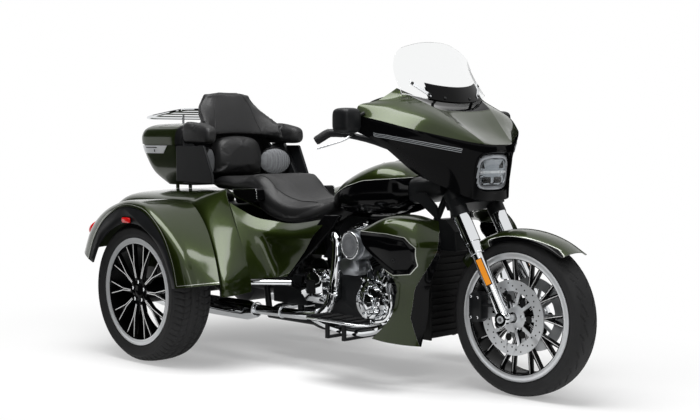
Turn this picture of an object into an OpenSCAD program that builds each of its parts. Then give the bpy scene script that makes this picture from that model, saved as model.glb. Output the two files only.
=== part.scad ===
// Touring trike: one steered front wheel, two driven rear wheels, V-twin engine,
// fork-mounted fairing, rear body with a trunk and a top case with a backrest.
// Millimetres. +X is forward, +Y is left, +Z is up, and the wheels stand on z = 0.

/* [Wheels] */
// Front tyre outer radius
front_tyre_r = 319; // [314:0.5:321]
// Front tyre width
front_tyre_w = 130; // [122:1:132]
// Height of the front tyre over its rim flange
front_tyre_h = 64; // [60:0.5:68]
// Rear tyre outer radius
rear_tyre_r = 325; // [320:0.5:327]
// Rear tyre width
rear_tyre_w = 215; // [206:1:217]
// Height of the rear tyres over their rim flanges
rear_tyre_h = 81; // [76:0.5:86]
// Rear wheel centre plane, from the middle of the trike
rear_wheel_y = 595; // [592:0.5:597]
// Number of forked spokes in each wheel
spokes = 10; // [7:1:11]
// Spoke prong width
prong_w = 11; // [8:0.5:13]
// Front brake disc radius
disc_r = 150; // [140:1:156]
// Width of the brake disc's rubbed band
disc_band = 44; // [38:1:50]
// Number of arms that carry each brake disc
disc_arms = 10; // [6:1:12]

/* [Axles and pins] */
// Front axle radius
front_axle_r = 14; // [13:0.25:15]
// Bore through the front axle, for a stand spindle
axle_bore_r = 9; // [7:0.25:10]
// Rear axle stub radius
rear_axle_r = 20; // [18:0.25:22]
// Rear axle tube radius
axle_tube_r = 36; // [32:0.5:38]
// Steering stem radius
stem_r = 15; // [14:0.25:16]
// Hinge pin radius of the top case lid and the trunk door
hinge_r = 6; // [5:0.25:7]
// Radial clearance of everything that turns on a pin
pin_gap = 0.3; // [0.2:0.05:0.5]
// Gap left between pieces that are seated on each other
seat_gap = 0.4; // [0.3:0.05:0.6]

/* [Front end] */
// Fork leg radius at the covers
fork_r = 30; // [28:0.5:31]
// Fork leg distance from the middle
fork_y = 119; // [117:0.5:121]
// Gap between the front tyre and the crown of its fender
front_fender_gap = 30; // [27:0.5:33]
// Front fender half width
front_fender_hw = 84; // [80:0.5:85]
// Handlebar tube radius
bar_r = 13; // [11:0.5:14]
// Headlamp half width
lamp_hw = 76; // [70:1:80]

/* [Bodywork] */
// Thickness of the painted panels
panel_t = 5; // [4:0.5:5.5]
// Thickness of the windshield
screen_t = 4; // [3:0.5:4.5]
// Wall of the top case
case_wall = 5; // [4:0.5:7]
// Wall of the trunk tub
tub_wall = 5; // [4:0.5:7]
// Rack tube radius
rack_r = 7; // [6:0.5:8]

/* [Engine] */
// Half angle between the cylinders
v_half = 22.5; // [22:0.25:23]
// Distance from the crank to the cylinder deck
deck = 150; // [148:1:154]
// Number of cooling fins on each cylinder
fins = 8; // [6:1:9]
// Exhaust pipe radius
pipe_r = 22; // [19:0.5:23]
// Muffler radius
muffler_r = 45; // [40:1:46]

/* [Hidden] */
$fn = 48;
front_rim_r = front_tyre_r - front_tyre_h;
rear_rim_r = rear_tyre_r - rear_tyre_h;
front_fender_r = front_tyre_r + front_fender_gap;
front_tyre_back = 516.5;
front_x = front_tyre_back + front_tyre_r;
rear_x = -835.5;
rake = 26;
head_foot = 934.5;
tail_x = -1400;
tub_floor = 306;
mid_x = (front_x + front_tyre_r + tail_x) / 2;
crank = [135, 0, 320];
case_y = 95;
axle_end = 152;
peg_seat = [-276, -252, 372];
hinge_lid = [-1175, 322, 986];
hinge_door = [-1352, 0, 712];

// The piece to draw

function lerp(a, b, t) = a + (b - a) * t;
function spow(v, e) = sign(v) * pow(abs(v), e);
function knot(tab, i) = tab[max(0, min(len(tab) - 1, i))];

// Smooth curve through the rows of a table; u runs from 0 to the last row
function spline(tab, u) =
  let (i = max(0, min(len(tab) - 2, floor(u))), t = u - i)
  let (a = knot(tab, i - 1), b = knot(tab, i), c = knot(tab, i + 1), d = knot(tab, i + 2))
  b + 0.5 * t * (c - a + t * (2 * a - 5 * b + 4 * c - d + t * (3 * (b - c) + d - a)));
function trace(tab, n) = [for (k = [0:n]) spline(tab, k * (len(tab) - 1) / n)];

// Point and outward normal of the smooth surface through a net of points
function on_net(net, u, v) = spline([for (row = net) spline(row, v)], u);
function net_normal(net, u, v) =
  let (e = 0.02)
  let (du = on_net(net, u + e, v) - on_net(net, u - e, v), dv = on_net(net, u, v + e) - on_net(net, u, v - e))
  cross(du, dv) / norm(cross(du, dv));
// Corner i, j of a panel that is cut into cut[0] by cut[1] patches
function corner(net, cut, i, j) =
  on_net(net, i * (len(net) - 1) / cut[0], j * (len(net[0]) - 1) / cut[1]);
function facing(net, cut, i, j) =
  net_normal(net, i * (len(net) - 1) / cut[0], j * (len(net[0]) - 1) / cut[1]);
// Places behind and in front of a panel corner for a support with a ball end of radius r
function behind(net, cut, i, j, t, r) = corner(net, cut, i, j) - (t + seat_gap + r) * facing(net, cut, i, j);
function ahead(net, cut, i, j, r) = corner(net, cut, i, j) + (seat_gap + r) * facing(net, cut, i, j);

// Rows of a net that is the same on both sides, from the right edge to the left edge
function both(row) =
  concat([for (i = [len(row) - 1:-1:1]) row[i]], [for (p = row) [p[0], -p[1], p[2]]]);

// Closed solid through rings of points that have the same count
module loft(rings) {
  m = len(rings);
  n = len(rings[0]);
  sides = [for (i = [0:m - 2], j = [0:n - 1], k = [0, 1])
    let (a = i * n + j, b = i * n + (j + 1) % n)
    k == 0 ? [a, b + n, b] : [a, a + n, b + n]];
  polyhedron(points = [for (r = rings) each r],
    faces = concat([[for (j = [0:n - 1]) j]], sides, [[for (j = [n - 1:-1:0]) (m - 1) * n + j]]));
}

// Thin panel of thickness t, set back by inset from a net surface and cut into m by n patches
module panel(net, m, n, t, u0 = 0, u1 = -1, v0 = 0, v1 = -1, inset = 0) {
  ue = u1 < 0 ? len(net) - 1 : u1;
  ve = v1 < 0 ? len(net[0]) - 1 : v1;
  w = n + 1;
  count = (m + 1) * w;
  at = [for (i = [0:m], j = [0:n]) [lerp(u0, ue, i / m), lerp(v0, ve, j / n)]];
  out = [for (q = at) net_normal(net, q[0], q[1])];
  outer = [for (k = [0:count - 1]) on_net(net, at[k][0], at[k][1]) - inset * out[k]];
  inner = [for (k = [0:count - 1]) outer[k] - t * out[k]];
  skin = [for (i = [0:m - 1], j = [0:n - 1], k = [0, 1])
    let (a = i * w + j)
    k == 0 ? [a, a + 1, a + w + 1] : [a, a + w + 1, a + w]];
  back = [for (f = skin) [f[0] + count, f[2] + count, f[1] + count]];
  edge = concat([for (i = [0:m - 1]) i * w], [for (j = [0:n - 1]) m * w + j],
    [for (i = [m:-1:1]) i * w + n], [for (j = [n:-1:1]) j]);
  rim = [for (k = [0:len(edge) - 1], h = [0, 1])
    let (a = edge[k], b = edge[(k + 1) % len(edge)])
    h == 0 ? [a, b, b + count] : [a, b + count, a + count]];
  polyhedron(points = concat(outer, inner), faces = concat(skin, back, rim));
}

function ring_x(x, hw, z0, z1, e, n, y = 0) = [for (k = [0:n - 1])
  [x, y + hw * spow(cos(360 * k / n), e), (z0 + z1) / 2 + (z1 - z0) / 2 * spow(sin(360 * k / n), e)]];
function ring_z(z, xa, xb, hw, e, n) = [for (k = [0:n - 1])
  [(xa + xb) / 2 + (xb - xa) / 2 * spow(cos(360 * k / n), e), hw * spow(sin(360 * k / n), e), z]];

// Round bar between two points
module rod(a, b, r) {
  d = b - a;
  translate(a)
    rotate([0, acos(d[2] / norm(d)), atan2(d[1], d[0])])
      cylinder(h = norm(d), r = r);
}

// Bar with a ball end that carries a panel
module stay(a, b, r) {
  rod(a, b, r * 0.8);
  translate(b)
    sphere(r = r, $fn = 16);
}

// Bent pipe along a path of points
module pipe(path, r, n = 12) {
  m = len(path) - 1;
  loft([for (i = [0:m])
    let (d = path[min(i + 1, m)] - path[max(i - 1, 0)])
    let (t = d / norm(d), s = cross(t, [0.13, 0.21, 0.97]), p = s / norm(s), q = cross(t, p))
    [for (k = [0:n - 1]) path[i] + r * (cos(360 * k / n) * p + sin(360 * k / n) * q)]]);
}

module mirrored() {
  children();
  mirror([0, 1, 0])
    children();
}

// Plate with cut corners, standing on the XY plane
module plate(x, y, h, c) {
  linear_extrude(height = h)
    polygon([[-x / 2 + c, -y / 2], [x / 2 - c, -y / 2], [x / 2, -y / 2 + c], [x / 2, y / 2 - c],
      [x / 2 - c, y / 2], [-x / 2 + c, y / 2], [-x / 2, y / 2 - c], [-x / 2, -y / 2 + c]]);
}

module box(x0, x1, y0, y1, z0, z1) {
  translate([x0, y0, z0])
    cube([x1 - x0, y1 - y0, z1 - z0]);
}

function head_x(z) = head_foot - tan(rake) * z;
clamp_x = 20.4;
clamp_drop = 34;
// Point in the steering head's own frame, x across the axis and w along it
function in_head(z, x, w) =
  [head_x(z) + x * cos(rake) - w * sin(rake), 0, z + x * sin(rake) + w * cos(rake)];
module on_head(z) {
  translate([head_x(z), 0, z])
    rotate([0, -rake, 0])
      children();
}

// Bodywork tables, and the number of patches each panel is cut into
fender_cut = [20, 10];
body_cut = [14, 26];
side_cut = [8, 10];
lower_cut = [14, 9];
dash_cut = [6, 18];
fairing_cut = [16, 24];

// Rear fender sections: angle round the axle, height of the lip over the tyre, height of the crown,
// crown inwards of the lip, height of the seam, side of the seam
FENDER = [[158, 19, 127, 67, 155, -477], [140, 31, 121, 57, 137, -477], [120, 48, 103, 51, 107, -477],
  [98, 65, 95, 49, 93, -477], [80, 69, 93, 47, 95, -479], [66, 66, 89, 45, 103, -488],
  [46, 51, 83, 45, 95, -512], [25, 38, 95, 49, 127, -560], [8, 37, 111, 53, 173, -598]];
lip_y = -rear_wheel_y - rear_tyre_w / 2 - 32.5;
function polar(a, h, y) =
  [rear_x + (rear_tyre_r + h) * cos(a), y, rear_tyre_r + (rear_tyre_r + h) * sin(a)];
fender_net = [for (s = FENDER)
  let (crown_y = lip_y + s[3])
  [polar(s[0], s[1], lip_y),
  polar(s[0], lerp(s[1], s[2], 0.55), lerp(lip_y, crown_y, 0.22)),
  polar(s[0], lerp(s[1], s[2], 0.92), lerp(lip_y, crown_y, 0.66)),
  polar(s[0], lerp(s[2], s[4], 0.12), lerp(crown_y, s[5], 0.12)),
  polar(s[0], lerp(s[2], s[4], 0.55), lerp(crown_y, s[5], 0.5)),
  polar(s[0], s[4], s[5])]];

// Rear body: rows from the tail to the front, each from the right sill to the middle of the deck
body_half = [
  [[-1338, -472, 410], [-1338, -472, 500], [-1338, -472, 610], [-1338, -425, 712], [-1338, -230, 735],
    [-1338, 0, 738]],
  [[-1240, -472, 408], [-1240, -472, 500], [-1240, -472, 620], [-1240, -440, 735], [-1240, -240, 752],
    [-1240, 0, 755]],
  [[-1000, -472, 408], [-1000, -472, 500], [-1000, -472, 620], [-1000, -445, 738], [-1000, -250, 756],
    [-1000, 0, 752]],
  [[-760, -472, 408], [-760, -472, 500], [-760, -472, 620], [-750, -456, 740], [-750, -255, 756],
    [-750, 0, 735]],
  [[-522, -472, 350], [-526, -473, 430], [-575, -476, 575], [-692, -470, 736], [-690, -270, 758],
    [-690, 0, 715]],
  [[-350, -576, 335], [-357, -578, 400], [-434, -538, 506], [-640, -456, 748], [-640, -290, 758],
    [-650, 0, 690]],
  [[-335, -425, 345], [-348, -420, 420], [-410, -412, 540], [-538, -400, 784], [-560, -290, 745],
    [-600, 0, 665]]];
body_net = [for (r = body_half) both([for (k = [len(r) - 1:-1:0]) r[k]])];

// Side cover under the seat: rows from the top edge down, each from the back to the front
side_net = [
  [[-520, -385, 705], [-455, -330, 662], [-380, -300, 640], [-270, -285, 626], [-135, -250, 612]],
  [[-455, -395, 600], [-410, -330, 585], [-360, -290, 575], [-290, -268, 565], [-190, -240, 545]],
  [[-395, -400, 500], [-375, -335, 490], [-345, -285, 485], [-300, -260, 478], [-240, -238, 470]],
  [[-345, -405, 405], [-338, -345, 402], [-328, -295, 402], [-312, -262, 404], [-290, -240, 408]]];

// Lower fairing: rows from the top down, each from the back to the front
lower_net = [
  [[325, -225, 668], [400, -235, 712], [485, -225, 714], [545, -180, 690]],
  [[306, -373, 658], [425, -362, 704], [528, -300, 692], [580, -215, 644]],
  [[317, -398, 600], [456, -394, 604], [564, -330, 592], [594, -225, 571]],
  [[424, -366, 498], [470, -346, 488], [518, -292, 470], [540, -215, 455]],
  [[438, -318, 428], [462, -304, 424], [494, -268, 414], [518, -205, 410]],
  [[396, -304, 300], [424, -294, 298], [470, -262, 300], [506, -200, 300]],
  [[285, -300, 197], [350, -288, 188], [430, -262, 182], [492, -225, 179]]];

// Fork-mounted fairing: rows from the windshield down, each from the middle to the right tip
fairing_half = [
  [[560, 0, 1152], [545, -110, 1158], [470, -185, 1188], [388, -255, 1228], [352, -345, 1196],
    [329, -430, 1151]],
  [[628, 0, 1082], [612, -95, 1082], [530, -200, 1112], [466, -310, 1140], [388, -378, 1148],
    [330, -432, 1136]],
  [[712, 0, 1000], [700, -85, 1002], [628, -210, 1028], [550, -334, 1060], [434, -398, 1094],
    [332, -433, 1118]],
  [[700, 0, 890], [684, -100, 892], [598, -215, 925], [505, -310, 965], [412, -382, 1028],
    [328, -432, 1085]],
  [[684, 0, 774], [672, -112, 782], [575, -190, 832], [490, -262, 885], [405, -358, 992],
    [324, -428, 1052]]];
fairing_net = [for (r = fairing_half) both(r)];

// Windshield: rows from its foot up, each from the middle to the right edge
screen_half = [
  [[500, 0, 1172], [484, -110, 1183], [440, -198, 1213], [376, -264, 1248]],
  [[462, 0, 1255], [446, -105, 1262], [408, -192, 1280], [362, -252, 1300]],
  [[412, 0, 1345], [398, -100, 1348], [372, -175, 1356], [348, -230, 1366]],
  [[368, 0, 1428], [360, -80, 1424], [350, -140, 1412], [342, -190, 1398]]];
screen_net = [for (k = [len(screen_half) - 1:-1:0]) both(screen_half[k])];

// Dash panel behind the fairing: rows from the top down, each from the middle to the edge
dash_half = [
  [[455, 0, 1140], [432, -150, 1155], [370, -255, 1196], [334, -340, 1180], [318, -402, 1140]],
  [[438, 0, 1062], [416, -150, 1068], [368, -260, 1084], [332, -340, 1100], [312, -405, 1106]],
  [[462, 0, 988], [440, -150, 992], [392, -262, 1010], [346, -340, 1044], [318, -398, 1070]]];
dash_net = [for (r = dash_half) both([for (p = r) [p[0], -p[1], p[2]]])];

// Front fender sections from the back end to the front end, and the share of the half width and radius
// of each point
front_fender_net = [for (k = [0:8])
  let (a = lerp(140, 47, k / 8), low = lerp(0.81, 0.93, k / 8))
  let (r = front_fender_r + 24 * pow(max(0, 90 - a) / 43, 2))
  both([for (q = [[0, 1], [0.5, 0.988], [0.86, 0.955], [1, lerp(low, 0.955, 0.5)], [1, low]])
    [front_x + r * q[1] * cos(a), -front_fender_hw * q[0], front_tyre_r + r * q[1] * sin(a)]])];

// Backrest: rows from the top down, each from the middle to the edge
back_half = [
  [[-1012, 0, 1262], [-1008, -75, 1260], [-1002, -128, 1248]],
  [[-985, 0, 1190], [-988, -105, 1190], [-998, -196, 1180]],
  [[-962, 0, 1105], [-955, -140, 1104], [-890, -238, 1098]],
  [[-948, 0, 1040], [-925, -160, 1034], [-792, -290, 1014]]];
back_net = [for (r = back_half) both(r)];

// Seat sections: place, half width, underside, top
SEAT = [[-985, 140, 782, 830], [-860, 172, 776, 836], [-740, 188, 772, 828], [-640, 202, 765, 850],
  [-598, 207, 750, 853], [-540, 212, 674, 850], [-450, 210, 638, 778], [-350, 196, 630, 742],
  [-250, 162, 646, 744], [-158, 96, 702, 766]];
// Fuel tank sections: place, half width, underside, top
TANK = [[300, 96, 742, 868], [250, 140, 712, 905], [170, 172, 694, 926], [70, 182, 688, 902],
  [-30, 172, 690, 856], [-100, 138, 700, 812], [-153, 92, 712, 788]];
// Top case outline: height, back, front, half width
CASE = [[793, -1236, -1000, 224], [853, -1308, -994, 264], [925, -1345, -991, 289], [988, -1363, -990, 302]];
LID = [[994, -1367, -996, 304], [1035, -1373, -996, 302], [1072, -1359, -998, 284], [1092, -1320, -1006, 236],
  [1099, -1250, -1030, 150]];

module frame() {
  color("#1c1d1f") {
    difference() {
      union() {
        on_head(775)
          cylinder(h = 118, r = 33);
        rod([528, 0, 832], [-60, 0, 692], 22);
      }
      on_head(700)
        cylinder(h = 300, r = stem_r + pin_gap);
    }
    translate([-60, 0, 692])
      sphere(r = 24);
    rod([-60, 0, 692], [-250, 0, 600], 21);
    translate([-250, 0, 600])
      sphere(r = 23);
    rod([-250, 0, 600], [-420, 0, 590], 21.5);
    rod([-420, -118, 590], [-420, 118, 590], 24);
    mirrored() {
      rod([452, -6, 814], [400, -105, 560], 14);
      translate([400, -105, 560])
        sphere(r = 17);
      rod([400, -105, 560], [372, -120, 190], 16);
      translate([372, -120, 190])
        sphere(r = 18);
      rod([372, -120, 190], [-560, -120, 190], 16.5);
      rod([-330, -120, 190], [-420, -110, 590], 15);
      rod([-420, -108, 590], [-965 + seat_gap, -108, 590], 15.5);
      rod([-560, -120, 190], [-640, -108, 590], 15);
      box(195, 265, -124, -90, 182, 212);
      box(-245, -185, -124, -90, 182, 212);
      box(-525, -345, -128, -99, 285, 335);
      box(385, 425 - seat_gap, -118, -98, 500, 530);
      box(360, 425 - seat_gap, -128, -104, 230, 260);
      for (x = [50, 150]) {
        box(x, x + 18, -342, -110, 176, 187);
        box(x, x + 18, -342, -331, 176, 265);
      }
      stay([-900, -108, 590], behind(body_net, body_cut, 5, 10, panel_t, 8), 8);
      stay([-680, -108, 590], behind(body_net, body_cut, 8, 10, panel_t, 8), 8);
      stay([-420, -108, 590], behind(side_net, side_cut, 2, 4, panel_t, 8), 8);
      stay([-352, -118, 330], behind(side_net, side_cut, 7, 6, panel_t, 8), 8);
      stay([380, -116, 300], behind(lower_net, lower_cut, 12, 4, panel_t, 8), 8);
      stay([398, -106, 548], behind(lower_net, lower_cut, 6, 3, panel_t, 8), 8);
      stay([-352, -118, 330], peg_seat, 12);
    }
    mirrored()
      translate([0, -100, 0])
        rotate([90, 0, 0])
          linear_extrude(height = 14)
            polygon([[340, 796], [405, 800], [468, 748], [488, 690], [462, 700], [388, 752], [340, 772]]);
    loft([for (s = [[303, 96, 746, 862], [350, 104, 752, 868], [405, 96, 768, 870], [446, 58, 790, 866]])
      ring_x(s[0], s[1], s[2], s[3], 0.6, 24)]);
    stay([100, 0, 730], [100, 0, tunnel(100) - 1.03 * (seat_gap + 9)], 9);
    let (s = trace(SEAT, 18)[14])
      stay([s[0], 0, 598], [s[0], 0, s[2] - seat_gap - 10], 10);
  }
}

module engine_cases() {
  color("#2a2b2d") {
    translate([crank[0], case_y, crank[2]])
      rotate([90, 0, 0])
        cylinder(h = 2 * case_y, r = 112);
    box(25, 270, -case_y, case_y, 212, 300);
    translate([-115, 0, 318])
      rotate([90, 0, 0])
        translate([0, 0, -case_y])
          plate(320, 212, 2 * case_y, 30);
    for (s = [-1, 1])
      translate(crank)
        rotate([0, s * v_half, 0])
          box(s > 0 ? -60 : -72, s > 0 ? 72 : 60, -74, 74, 60, deck);
  }
}

module cylinder_unit(s) {
  translate(crank)
    rotate([0, s * v_half, 0]) {
      translate([0, 0, deck])
        cylinder(h = 100, r = 55);
      for (k = [0:fins - 1])
        let (w = deck + 6 + k * 90 / fins, near = min(74, w * tan(v_half) - 4))
          box(s > 0 ? -near : -74, s > 0 ? 74 : near, -78, 78, w, w + 5);
      box(-66, 66, -76, 76, deck + 98, deck + 168);
      for (k = [0:3])
        box(-72, 72, -78, 78, deck + 106 + k * 15, deck + 111 + k * 15);
    }
}

module cylinders() {
  color("#202123")
    for (s = [-1, 1])
      cylinder_unit(s);
}

module rocker_covers() {
  color("#c9ccd0")
    for (s = [-1, 1])
      translate(crank)
        rotate([0, s * v_half, 0])
          translate([0, -22, deck + 168]) {
            plate(148, 198, 20, 14);
            translate([0, 4, 19])
              plate(128, 170, 19, 16);
          }
}

module cam_cover() {
  color("#c4c7cb") {
    translate([crank[0], -case_y, crank[2]])
      rotate([90, 0, 0]) {
        cylinder(h = 42, r = 96);
        cylinder(h = 74, r = 70);
        cylinder(h = 92, r = 40);
      }
    for (s = [-1, 1])
      translate(crank)
        rotate([0, s * v_half, 0]) {
          box(-34, 34, -130, -case_y - 3, 80, 132);
          for (k = [-17, 17])
            translate([k, -110, 110])
              cylinder(h = deck + 168 - 110 - seat_gap, r = 9.5);
        }
  }
}

module gearbox_cover() {
  color("#c4c7cb")
    translate([-180, -case_y, 362])
      rotate([90, 0, 0]) {
        plate(166, 158, 60, 34);
        plate(136, 128, 110, 34);
        for (k = [-1:1])
          translate([0, k * 34, 0])
            plate(150, 12, 104, 3);
      }
}

module primary_cover() {
  color("#c4c7cb")
    translate([-20, case_y + 80, 318])
      rotate([90, 0, 0]) {
        plate(480, 196, 80, 70);
        translate([150, 0, -16])
          cylinder(h = 40, r = 74);
        translate([-120, 0, -10])
          cylinder(h = 40, r = 62);
      }
}

module air_cleaner() {
  color("#18191a") {
    box(36, 236, -90, -78 - seat_gap, 562, 598);
    translate([150, -86, 578])
      rotate([90, 0, 0])
        cylinder(h = 130, r = 30);
    translate([155, -205, 576])
      rotate([90, 0, 0]) {
        cylinder(h = 70, r = 66);
        cylinder(h = 92, r = 52);
        translate([-36, -96, 0])
          plate(112, 70, 60, 18);
      }
  }
}

// The mufflers pass under the rear axle and the trunk tub
muffler_z = min(rear_tyre_r - axle_tube_r - 16, tub_floor - 33) - muffler_r;
// Exhaust ports, half a head away from each cylinder axis
port_w = deck + 134;
port_x = 72 + seat_gap + 0.2;
function port(s, d) = crank + [s * (port_w * sin(v_half) + (port_x + d) * cos(v_half)), 0,
  port_w * cos(v_half) - (port_x + d) * sin(v_half)];
PIPE_REAR = [port(-1, 0), port(-1, 14), port(-1, 36), [-114, -85, 548], [-72, -170, 594], [-5, -226, 606],
  [24, -244, 560], [22, -252, 450], [8, -262, 340], [-30, -270, 274], [-110, -272, 250],
  [-300, -271, muffler_z + 15], [-420, -270, muffler_z + 12], [-480, -270, muffler_z + 12]];
PIPE_FRONT = [port(1, 0), port(1, 14), port(1, 32), [350, -45, 440], [330, -150, 330], [285, -235, 246],
  [210, -268, 214], [90, -276, 212], [-20, -274, 226], [-110, -272, 250]];
PIPE_CROSS = [for (q = [[-290, -271, 15], [-385, -232, 14], [-452, -140, 12], [-474, 0, 10], [-462, 140, 8],
  [-462, 228, 0], [-490, 268, -4], [-510, 270, -4], [-530 + seat_gap, 270, -4]])
  [q[0], q[1], muffler_z + q[2]]];

module exhaust_pipes() {
  color("#cfd2d6") {
    pipe(trace(PIPE_REAR, 30), pipe_r);
    pipe(trace(PIPE_FRONT, 24), pipe_r - 1);
    pipe(trace(PIPE_CROSS, 18), pipe_r - 3);
  }
}

module mufflers() {
  color("#bfc2c6") {
    translate([-480 - seat_gap, -270, muffler_z])
      rotate([0, -90, 0])
        rotate_extrude()
          polygon([[0, 0], [30, 0], [muffler_r, 60], [muffler_r, 700], [muffler_r - 8, 760], [0, 760]]);
    translate([-530, 270, muffler_z - 4])
      rotate([0, -90, 0])
        rotate_extrude()
          polygon([[0, 0], [30, 0], [muffler_r, 60], [muffler_r, 650], [muffler_r - 8, 710], [0, 710]]);
  }
}

// Height of the roof of the tunnel under the tank
function tunnel(x) = 774 + 0.225 * (x - 50);
module fuel_tank() {
  color("#4a5032")
    difference() {
      loft([for (s = trace([for (k = [len(TANK) - 1:-1:0]) TANK[k]], 14))
        ring_x(s[0], s[1], s[2], s[3], 0.72, 28)]);
      translate([0, 44, 0])
        rotate([90, 0, 0])
          linear_extrude(height = 88)
            polygon([[-260, 600], [400, 600], [400, tunnel(400)], [-260, tunnel(-260)]]);
    }
}

module seat() {
  color("#17181a") {
    mirrored()
      let (foot = ahead(body_net, body_cut, 6, 12, 9))
        stay([foot[0], foot[1], 790], foot, 9);
    loft([for (s = trace(SEAT, 18)) ring_x(s[0], s[1], s[2], s[3], 0.55, 24)]);
  }
}

module side_cover_right() {
  color("#4a5032")
    panel(side_net, side_cut[0], side_cut[1], panel_t);
}
module side_cover_left() {
  mirror([0, 1, 0])
    side_cover_right();
}

module lower_fairing_right() {
  color("#4a5032")
    panel(lower_net, lower_cut[0], lower_cut[1], panel_t);
}
module lower_fairing_left() {
  mirror([0, 1, 0])
    lower_fairing_right();
}

module radiator() {
  color("#131415") {
    box(425, 470, -150, 150, 200, 560);
    for (k = [0:11])
      box(469, 478, -140, 140, 214 + k * 28, 224 + k * 28);
    mirrored()
      box(425, 484, -158, -149, 195, 565);
  }
}

module rear_body() {
  color("#4a5032")
    panel(body_net, body_cut[0], body_cut[1], panel_t);
}

module trunk_tub() {
  color("#1a1b1c")
    difference() {
      box(-1334, -965, -425, 425, tub_floor, 682);
      box(-1400, -965 - tub_wall, -425 + tub_wall, 425 - tub_wall, tub_floor + tub_wall, 682 - tub_wall);
    }
  color("#1a1b1c")
    for (y = [-300, 300]) {
      box(-1346, -1326, y - 40, y - 22, 672, 712);
      translate([hinge_door[0], y - 40, hinge_door[2]])
        rotate([-90, 0, 0])
          cylinder(h = 70, r = hinge_r);
      translate([hinge_door[0], y - 40, hinge_door[2]])
        rotate([-90, 0, 0])
          cylinder(h = 18, r = hinge_r + 5);
    }
}

module rear_fender_right() {
  color("#4a5032") {
    panel(fender_net, fender_cut[0], fender_cut[1], panel_t);
    stay(behind(fender_net, fender_cut, 2, 9, 0, 2), ahead(body_net, body_cut, 2, 4, 8), 8);
  }
}
module rear_fender_left() {
  mirror([0, 1, 0])
    rear_fender_right();
}

module arch_trim() {
  arch = [for (i = [0:fender_cut[0]])
    behind(fender_net, fender_cut, i, 0, panel_t - seat_gap, 0) - [rear_x, 0, rear_tyre_r]];
  translate([rear_x, lip_y + 10, rear_tyre_r])
    rotate([90, 0, 0])
      linear_extrude(height = 9)
        polygon(concat(
          [for (s = arch) let (r = norm([s[0], s[2]])) (1 - (seat_gap + 0.1) / r) * [s[0], s[2]]],
          [for (k = [fender_cut[0]:-1:0]) let (s = arch[k], r = norm([s[0], s[2]]))
            (1 - (26 + 46 * pow(max(0, s[2] / r), 2)) / r) * [s[0], s[2]]]));
}
module arch_trims() {
  color("#121314")
    mirrored()
      arch_trim();
}

module rear_lamps() {
  color("#8c1512")
    mirrored() {
      translate([rear_x - 3, lip_y + 1 - seat_gap, 2 * rear_tyre_r + 5])
        rotate([90, 0, 0])
          plate(62, 24, 7, 6);
      tail = facing(fender_net, fender_cut, 2, 6);
      translate(ahead(fender_net, fender_cut, 2, 6, 0))
        rotate([0, acos(tail[2]), atan2(tail[1], tail[0])])
          cylinder(h = 20, r1 = 44, r2 = 38);
    }
}

module top_case_base() {
  n = 32;
  up = trace(CASE, 6);
  color("#3c4229") {
    loft(concat([for (s = up) ring_z(s[0], s[1], s[2], s[3], 0.34, n)],
      [for (k = [len(up) - 1:-1:1]) let (s = up[k])
        ring_z(s[0], s[1] + case_wall, s[2] - case_wall, s[3] - case_wall, 0.34, n)]));
    mirrored() {
      for (i = [3, 4])
        let (foot = ahead(body_net, body_cut, i, 11, 9))
          stay([foot[0], foot[1], 797], foot, 9);
    }
    for (x = [-120, 90]) {
      translate(hinge_lid + [x, 0, 0])
        rotate([0, 90, 0])
          cylinder(h = 24, r = hinge_r + 5);
      translate(hinge_lid + [x, -34, -9])
        cube([24, 34, 9]);
    }
    translate(hinge_lid + [-100, 0, 0])
      rotate([0, 90, 0])
        cylinder(h = 200, r = hinge_r);
  }
}

module lower_back_pad() {
  color("#17181a")
    loft([for (s = [[-989.5, 138, 850, 1024], [-975, 144, 846, 1026], [-935, 142, 844, 1026],
      [-908, 134, 850, 1020], [-896, 114, 866, 1004]])
      ring_x(s[0], s[1], s[2], s[3], 0.45, 24)]);
}

module speaker_pod() {
  box(-992.1, -955, -215, -150, 868, 912);
  translate([-944, -244, 908])
    rotate([0, 90, 36])
      cylinder(h = 58, r = 71);
  translate([0, -272, 0])
    rotate([90, 0, 0])
      linear_extrude(height = 28)
        polygon([[-989.5, 806], [-800, 806], [-804, 830], [-870, 942], [-912, 998], [-989.5, 998]]);
  box(-989.5, -930, -274, -215, 820, 990);
}
module speaker_pods() {
  color("#17181a")
    mirrored()
      speaker_pod();
}

module rear_axle() {
  color("#232425") {
    rod([rear_x, -455, rear_tyre_r], [rear_x, 455, rear_tyre_r], axle_tube_r);
    translate([rear_x, 0, rear_tyre_r])
      rotate([90, 0, 0])
        rotate_extrude()
          polygon([[0, -110], [60, -110], [104, -60], [104, 60], [60, 110], [0, 110]]);
    rod([-490, -98.6, 310], [-490, 98.6, 310], 26);
    mirrored() {
      rod([rear_x, -68, rear_tyre_r], [-490, -68, 310], 22);
      rod([rear_x, -450, rear_tyre_r], [rear_x, -rear_wheel_y - 60, rear_tyre_r], rear_axle_r);
      rod([rear_x, -462, rear_tyre_r], [rear_x, -476, rear_tyre_r], 70);
    }
  }
}

module footboards() {
  color("#1b1c1d")
    mirrored() {
      translate([190, -374, 265])
        plate(356, 132, 14, 30);
      for (k = [-2:2])
        translate([190 + k * 62, -374, 278])
          plate(40, 104, 6, 6);
    }
}

module passenger_pegs() {
  d = peg_seat - [-352, -118, 330];
  start = peg_seat + (12 + seat_gap) * d / norm(d);
  color("#c9ccd0")
    mirrored() {
      rod(start, start + 34 * d / norm(d), 9);
      rod(start + 26 * d / norm(d) + [16, 14, 0], start + [-160, -172, 8], 12);
    }
}

module foot_controls() {
  color("#c4c7cb")
    mirrored() {
      box(338, 366, -392, -372, 279, 292);
      pipe(trace([[350, -382, 288], [400, -382, 290], [446, -378, 310], [462, -374, 370], [452, -372, 418]],
        10), 8, 10);
      translate([452, -372, 424])
        rotate([0, 78, 0])
          plate(44, 62, 12, 8);
    }
}

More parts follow.
